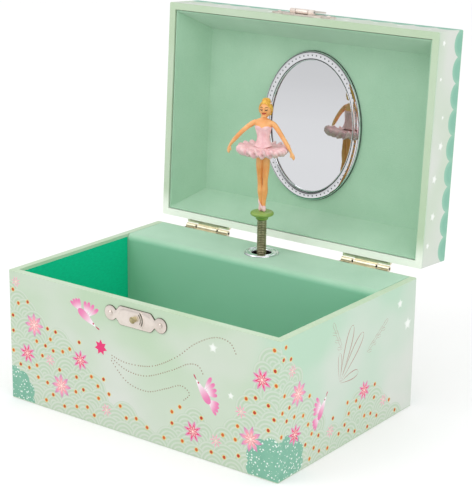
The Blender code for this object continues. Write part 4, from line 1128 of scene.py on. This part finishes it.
def dancer_body(material):
    """Shoulders, neck, head, arms and hands in one moulding."""
    bm = loft(TORSO[3:])
    tube([(0.1, 0, 134.6, 1.3), (0.4, 0, 135.8, 1.25), (0.7, 0.1, 137.2, 1.3)], 16, 3, into=bm)
    egg((HEAD_X, 0.1, HEAD_Z), (HEAD_W, HEAD_D, HEAD_H), 28, 18, bm, jaw)
    egg((HEAD_X, -3.45, HEAD_Z - 0.55), (0.42, 0.62, 0.62), 10, 8, bm)
    egg((HEAD_X, -2.2, HEAD_Z - 3.1), (1.0, 1.1, 0.8), 12, 8, bm)
    for side in (1, -1):
        egg((HEAD_X + side * 3.1, 0.4, HEAD_Z - 0.5), (0.4, 0.65, 0.9), 10, 8, bm)
    outstretched = [
        (-3.6, 0, 132.4, 1.3), (-5.8, -0.1, 131.3, 1.35), (-8.8, -0.3, 129.0, 1.2), (-11.8, -0.7, 126.1, 1.1),
        (-14.3, -1.1, 123.2, 1.05), (-16.1, -1.4, 120.9, 0.8), (-16.8, -1.5, 119.6, 0.72, 0.6),
        (-17.2, -1.6, 118.2, 0.95, 0.5), (-17.4, -1.7, 116.8, 0.8, 0.42), (-17.1, -1.8, 115.9, 0.36, 0.26),
    ]
    lowered = [
        (3.6, 0, 132.4, 1.3), (5.7, -0.1, 131.1, 1.35), (8.0, -0.3, 128.3, 1.2), (10.3, -0.5, 125.0, 1.1),
        (12.5, -0.8, 121.9, 1.05), (14.0, -1.1, 119.6, 0.8), (14.6, -1.2, 118.4, 0.72, 0.6),
        (15.4, -1.3, 117.0, 1.0, 0.5), (15.9, -1.4, 115.8, 0.85, 0.42), (16.2, -1.5, 114.9, 0.36, 0.26),
    ]
    for arm in (outstretched, lowered):
        tube(arm, into=bm)
    tube([(-16.8, -1.6, 119.2, 0.34), (-16.1, -2.0, 118.2, 0.32), (-16.0, -2.2, 117.3, 0.2)], 8, 3, into=bm)
    tube([(14.8, -1.4, 118.0, 0.34), (14.4, -1.8, 116.9, 0.32), (14.6, -2.0, 116.0, 0.2)], 8, 3, into=bm)
    sculpt("dancer_body", bm, material, 5, "figure_upper")


def dancer_legs(material):
    bm = bmesh.new()
    for side in (1, -1):
        y = -0.35 * side
        rows = (
            (0.85, y - 0.1, 88.0, 0.95), (0.85, y, 89.4, 1.0), (0.88, y, 91.0, 0.96),
            (1.0, y + 0.1, 93.4, 1.05), (1.25, y + 0.25, 97.2, 1.45, 1.55), (1.4, y + 0.1, 100.6, 1.3, 1.35),
            (1.45, y - 0.1, 103.0, 1.3), (1.6, y, 107.0, 1.6, 1.75), (1.7, 0, 111.0, 1.8, 1.95),
            (1.6, 0, 116.0, 1.8, 2.0),
        )
        tube([(side * x, *rest) for x, *rest in rows], 20, 5, into=bm)
    sculpt("dancer_legs", bm, material, 3, "figure_legs")


def dancer_shoes(material):
    """Small ballet shoes on their points, and a ribbon that crosses from one ankle to the other toe."""
    bm = bmesh.new()
    for x, y, lean in ((0.85, -0.55, 0.4), (-0.75, 0.35, -0.1)):
        tube([
            (x + lean, y - 0.5, 87.4, 0.6, 0.55), (x + lean * 0.9, y - 0.45, 87.9, 0.95, 1.0),
            (x + lean * 0.6, y - 0.3, 88.8, 1.12, 1.2), (x + lean * 0.2, y - 0.1, 89.7, 1.02, 1.08),
            (x, y, 90.3, 0.7, 0.75),
        ], 18, 5, into=bm)
    tube([
        (-1.75, -0.75, 93.4, 0.1, 0.08), (-1.35, -1.3, 92.2, 0.4, 0.2), (-0.55, -1.75, 90.8, 0.5, 0.25),
        (0.35, -2.0, 89.5, 0.6, 0.3), (1.2, -1.8, 88.4, 0.6, 0.35),
    ], 12, 5, into=bm)
    piece("dancer_shoes", bm, material, "ballerina", "pink_plastic", smooth=60)


def dancer_tutu(material):
    """Two thick layers of gathered net, pleated at the waist and ruffled at the edge."""
    bm = bmesh.new()
    section = (
        (0.24, 120.2), (0.42, 119.8), (0.6, 119.5), (0.76, 119.8), (0.88, 120.2), (0.96, 120.1), (1.0, 119.5),
        (1.0, 118.6), (0.96, 118.0), (0.88, 117.7), (0.7, 117.4), (0.45, 117.1), (0.24, 117.2),
    )
    for rim, drop, pleats, phase in ((12.4, 0.0, 19, 0.0), (11.9, 0.9, 17, 1.1)):
        rings = []
        for a in angles(pleats * 16):
            fold = math.sin(pleats * a + phase + 0.6 * math.sin(5 * a))
            swing = 0.3 * math.sin(3 * a + 0.7 + phase)
            ring = []
            for share, height in section:
                gather = share**2.2
                r = rim * share * (1 + 0.085 * fold * gather)
                z = height - drop + (0.95 * math.sin(pleats * a + phase + 0.9) + swing) * gather
                ring.append(Vector((r * math.cos(a), r * math.sin(a), z)))
            rings.append(ring)
        skin(rings, closed=True, into=bm)
    piece("dancer_tutu", bm, material, "ballerina", "pink_plastic", "figure_skirt", smooth=75)


def dancer_bodice(material):
    """A strapless bodice with a sweetheart neckline, a pointed waist seam and soft gathers."""
    levels = 22
    rings = []
    for n in range(levels + 1):
        t = n / levels
        hem = {1: 0.4, levels - 1: 0.16}.get(n, 0.0)
        ring = []
        for a in angles(72):
            front = max(0.0, -math.sin(a))
            lobes = 0.75 * front**2 * abs(math.cos(a)) ** 0.6 * 2
            top = 130.5 + lobes - 0.3 * front**6
            bottom = 120.3 - 0.6 * front**4 + 0.25 * (1 - front)
            z = bottom + (top - bottom) * t
            wide, deep, shift = torso_half(z)
            grow = 0.3 + 0.09 * math.cos(16 * a) * math.sin(math.pi * t) + hem
            if n in (0, levels):
                grow = -0.5
            ring.append(Vector(((wide + grow) * math.cos(a), (deep + grow) * math.sin(a) - shift, z)))
        rings.append(ring)
    piece("dancer_bodice", skin(rings), material, "ballerina", "pink_plastic", smooth=70)


def dancer_hair(material, band_material):
    """Hair drawn back from a side parting into a bun, held by a ribbon."""
    rows = 15
    rings = []
    for k in range(rows):
        ring = []
        for a in angles(48):
            front = max(0.0, -math.sin(a))
            hairline = 0.30 + 0.42 * front**0.7 - 0.12 * math.cos(a + 0.6) * front
            low = -0.75 + (hairline + 0.75) * front**0.55 if front else -0.75
            z = low + (0.995 - low) * k / (rows - 1)
            wide = math.sqrt(max(0.0, 1 - z * z))
            grow = 1.1 + 0.025 * math.sin(20 * a + 3 * z)
            if k == 0:
                grow, z = 0.86, low + 0.03
            x, y = HEAD_W * grow * wide * math.cos(a), HEAD_D * grow * wide * math.sin(a)
            ring.append(Vector((HEAD_X + x, 0.25 + y, HEAD_Z + HEAD_H * 1.06 * z)))
        rings.append(ring)
    bm = skin(rings)
    for k in range(2):
        size = (2.25 - 0.4 * k, 2.1 - 0.4 * k, 0.85)
        egg((HEAD_X - 0.1, 1.2, HEAD_Z + 4.1 + 0.45 * k), size, 24, 10, bm)
    piece("dancer_hair", bm, material, "ballerina", "skin_plastic", smooth=60)
    loop = []
    for k in range(25):
        a = TAU * k / 24
        c, n = math.cos(a), math.sin(a)
        loop.append((HEAD_X + 2.55 * c, 0.5 + 2.9 * n, HEAD_Z + 2.9 + 0.35 * n, 0.3, 0.24))
    piece("hair_ribbon", tube(loop, 8, 2), band_material, "ballerina", "pink_plastic", smooth=60)


def face_point(x, z, proud=0.05):
    """A point on the front of the doll's face."""
    t = (z - HEAD_Z) / HEAD_H
    wide = math.sqrt(max(0.0, 1 - t * t)) * jaw((t + 1) / 2)
    forward = HEAD_D * wide * math.sqrt(max(0.0, 1 - (x / (HEAD_W * wide)) ** 2))
    return Vector((HEAD_X + x, 0.1 - forward - proud, z))


def dancer_face(brown, red):
    """Painted brows, lowered lashes and a small smile, as thin raised strokes."""
    brow = (0.5, 1.0, 0.09), (1.2, 1.45, 0.16), (2.05, 1.1, 0.08)
    lash = (0.5, 0.3, 0.12), (1.2, 0.0, 0.28), (1.95, 0.35, 0.12)
    bm = bmesh.new()
    for side in (1, -1):
        for stroke in (brow, lash):
            tube([(*face_point(side * x, HEAD_Z + z), w) for x, z, w in stroke], 8, 4, into=bm)
    piece("dancer_brows_and_lashes", bm, brown, "ballerina", "skin_plastic", smooth=60)
    smile = ((-1.15, -1.35, 0.07), (-0.55, -1.7, 0.26), (0.0, -1.77, 0.3), (0.55, -1.7, 0.26),
             (1.15, -1.35, 0.07))
    bm = tube([(*face_point(x, HEAD_Z + z, 0.1), w) for x, z, w in smile], 10, 4)
    piece("dancer_lips", bm, red, "ballerina", "skin_plastic", smooth=60)


def dancer_stand(material):
    """The moulded foot: a rounded disc on a stepped stem that plugs into the spring."""
    profile = rounded([
        (0, 83.1), (2.9, 83.1), (3.15, 83.4), (3.2, 84.3), (3.8, 84.55), (4.2, 85.05), (5.3, 85.2),
        (5.85, 85.7), (5.9, 86.4), (5.5, 87.0), (4.9, 87.25), (0, 87.35),
    ], 0.3, 5)
    piece("dancer_stand", lathe(profile), material, "ballerina", "green_plastic", "figure_stand", smooth=50)


# ---------------------------------------------------------------- finishes


def dress(material, *names, bevel=0.0):
    """Gives carried CAD nodes their material and, if asked, softly worn edges."""
    for name in names:
        obj = nodes[name]
        for slot_now in obj.material_slots:
            slot_now.material = material
        if not obj.material_slots:
            obj.data.materials.append(material)
        obj.data.shade_smooth()
        obj.data.set_sharp_from_angle(angle=math.radians(35))
        if bevel:
            edge = obj.modifiers.new("worn_edge", "BEVEL")
            edge.width = bevel * MM
            edge.segments = 2
            edge.limit_method = "ANGLE"
            edge.angle_limit = math.radians(40)
            edge.harden_normals = True


def dress_the_frame(looks):
    dress(looks["grey_board"], "base_floor", "base_front", "base_rear", "base_left", "base_right",
          "lid_front", "lid_rear", "lid_left", "lid_right", "lid_top_board")
    dress(looks["rim_paper"], "base_wrap")
    dress(looks["lid_rim_paper"], "lid_wrap", "lid_top_sheet")
    dress(looks["underside_paper"], "base_bottom_sheet")
    dress(looks["emerald_card"], "compartment_lining")
    dress(looks["tier_flock"], "platform_lining")
    dress(looks["lid_flock"], "lid_lining")
    dress(looks["tier_card"], "platform_card")
    dress(looks["pressed_nickel"], "latch_lid_plate", "latch_flap", "latch_base_nail_left",
          "latch_base_nail_right", "latch_lid_nail_left", "latch_lid_nail_right", bevel=0.08)
    dress(looks["tarnished_silver"], "hinge_left_pin", "hinge_right_pin")
    dress(looks["bright_steel"], "latch_pin", "mainspring", "winding_arbor", "click_spring",
          "spindle_bracket", "drum_bracket_left", "drum_bracket_right", "comb", "comb_screw_left",
          "comb_screw_right", "governor_bracket")
    dress(looks["turned_brass"], "spring_barrel", "barrel_cap", "spindle", "drum", "idler")
    dress(looks["cast_zinc"], "bedplate", "comb_block")
    dress(looks["cast_zinc"], "winding_key", bevel=0.2)
    dress(looks["white_nylon"], "governor_worm")


def make_looks():
    looks = {"mirror_silver": mirror_silver("mirror_silver")}

    def add(kind, name, light, dark, *rest, **more):
        looks[name] = kind(name, rgb(*light), rgb(*dark), *rest, **more)

    add(card, "grey_board", (176, 158, 130), (146, 126, 98))
    add(card, "tier_card", (182, 170, 146), (156, 142, 116))
    add(rim_paper, "rim_paper", (202, 220, 196), (194, 215, 184))
    # the lid rim paper's third colour is painted light, paler on the lid's shaded lower rim
    add(rim_paper, "lid_rim_paper", (197, 215, 190), (188, 210, 178), rgb(244, 250, 238))
    add(card, "underside_paper", (200, 212, 196), (184, 198, 180), 0.75, 900.0)
    add(card, "emerald_card", (0, 208, 158), (0, 196, 146), 0.7, 1200.0)
    # the tier flock's third colour is a painted shade on its upright faces, such as the drop panel
    add(flock, "tier_flock", (176, 215, 188), (160, 203, 174), rgb(144, 202, 171))
    add(flock, "lid_flock", (176, 211, 184), (161, 200, 171))
    add(flock, "pad_flock", (166, 206, 176), (146, 190, 158))
    add(metal, "bright_chrome", (238, 239, 242), (222, 225, 230), 0.15, relief=0.000004)
    add(metal, "pressed_nickel", (242, 231, 222), (226, 213, 203), 0.36, (1.0, 1.0, 6.0), metallic=0.7)
    # dark metal for the latch plate's edges and arcs: a painted shade
    add(metal, "cut_edge", (96, 94, 74), (72, 70, 56), 0.5)
    add(metal, "worn_nickel", (214, 202, 162), (150, 136, 92), 0.34, grain=500.0)
    # dark silver for the hinge pins and the mirror's dark rings, the outer ring a painted contact shadow
    add(metal, "tarnished_silver", (88, 88, 90), (60, 60, 62), 0.35)
    # grey for the mirror border's dots, a painted shade of its dimples
    add(plastic, "frosted_glass", (140, 140, 143), (116, 116, 120), 0.7)
    add(metal, "rolled_nickel", (250, 242, 216), (238, 228, 198), 0.34, (6.0, 1.0, 1.0), relief=0.000004)
    add(metal, "spring_wire", (196, 190, 156), (152, 144, 112), 0.42)
    add(metal, "bright_steel", (196, 198, 202), (164, 164, 166), 0.28, (6.0, 1.0, 1.0))
    add(metal, "turned_brass", (218, 186, 110), (186, 148, 78), 0.25)
    add(metal, "cast_zinc", (186, 188, 190), (160, 162, 166), 0.42, grain=1400.0, relief=0.00003)
    add(plastic, "white_nylon", (238, 236, 228), (226, 222, 210), 0.5)
    add(plastic, "skin_paint", (250, 190, 128), (238, 162, 94), 0.42, 0.12)
    # the legs' own, more orange copy of the skin paint, made to brighten them in the tutu's shade: painted
    # light
    add(plastic, "leg_paint", (252, 184, 114), (238, 156, 82), 0.42, 0.12)
    add(plastic, "pink_paint", (248, 212, 212), (234, 188, 192), 0.5, 0.05, 420.0)
    add(plastic, "blonde_paint", (240, 192, 78), (206, 144, 38), 0.4, 0.0, 900.0)
    add(plastic, "brown_paint", (96, 62, 40), (72, 46, 30), 0.45)
    add(plastic, "red_paint", (200, 34, 40), (176, 24, 32), 0.35)
    add(plastic, "green_moulding", (154, 182, 92), (130, 162, 68), 0.4)
    return looks


# ---------------------------------------------------------------- studio


def area_light(name, place, target, size, power):
    data = bpy.data.lights.new(name, "AREA")
    data.shape = "DISK"
    data.size = size
    data.energy = power
    lamp = bpy.data.objects.new(name, data)
    lamp.location = place
    lamp.rotation_euler = (Vector(target) - Vector(place)).to_track_quat("-Z", "Y").to_euler()
    bpy.context.scene.collection.objects.link(lamp)


def light_world(world):
    """A white room: pure white to the camera and as light, and darker near the horizon in reflections."""
    s = Nodes(world)
    background = s.tree.nodes["Background"]
    rays = s.node("LightPath").outputs
    _, _, z = s.axes(s.node("TexCoord").outputs["Generated"])
    rise = s.step(z, 0.0, 0.8, 0.15, 1.0, kind="LINEAR")
    level = s.mix(rays["Is Glossy Ray"], 1.0, rise, kind="FLOAT")
    s.put(background.inputs["Strength"], s.mix(rays["Is Camera Ray"], level, 1.0, kind="FLOAT"))
    s.put(background.inputs["Color"], (1.0, 1.0, 1.0, 1.0))


def studio_floor():
    s = Surface("studio_floor")
    pale = s.mix(s.noise(s.place(), 8.0, 2.0), rgb(228, 228, 228), rgb(231, 231, 231))
    seen = s.node("LightPath").outputs["Is Camera Ray"]
    s.finish(Base_Color=pale, Roughness=0.9, Emission_Color=(1, 1, 1, 1),
             Emission_Strength=s.math("MULTIPLY", seen, 0.2), Specular_IOR_Level=0.0)
    bm = bmesh.new()
    bmesh.ops.create_grid(bm, x_segments=1, y_segments=1, size=6000)
    obj_from("studio_floor", bm, s.material, Matrix.Translation((0, 0, -0.0002)))


def studio():
    scene = bpy.context.scene
    scene.view_settings.view_transform = "Standard"
    scene.world = bpy.data.worlds.new("studio")
    light_world(scene.world)
    area_light("key", (-0.55, -0.75, 1.05), (0, 0, 0.06), 0.7, 2.8)
    area_light("fill", (0.95, -0.35, 0.55), (0, 0, 0.06), 0.8, 2.0)
    studio_floor()
    data = bpy.data.cameras.new("camera")
    data.sensor_width = 36
    data.lens = 109.63
    camera = bpy.data.objects.new("camera", data)
    camera.location = (0.42069, -0.5493, 0.28512)
    camera.rotation_euler = Euler([math.radians(a) for a in (73.353, -0.735, 36.735)])
    scene.collection.objects.link(camera)
    scene.camera = camera


# ---------------------------------------------------------------- assembly


def build():
    looks = make_looks()
    dress_the_frame(looks)
    print_the_box()
    padded_floor(looks["pad_flock"])
    mirror_frame(looks["mirror_silver"], looks["tarnished_silver"], looks["frosted_glass"])
    mirror_plate(looks["mirror_silver"])
    eyelet(looks["bright_chrome"])
    hinges(looks["rolled_nickel"])
    catch_plate(looks["pressed_nickel"], looks["cut_edge"], looks["worn_nickel"])
    coil_spring(looks["spring_wire"])
    dancer_stand(looks["green_moulding"])
    dancer_legs(looks["leg_paint"])
    dancer_shoes(looks["pink_paint"])
    dancer_tutu(looks["pink_paint"])
    dancer_bodice(looks["pink_paint"])
    dancer_body(looks["skin_paint"])
    dancer_hair(looks["blonde_paint"], looks["pink_paint"])
    dancer_face(looks["brown_paint"], looks["red_paint"])
    studio()


build()
bpy.context.view_layer.update()
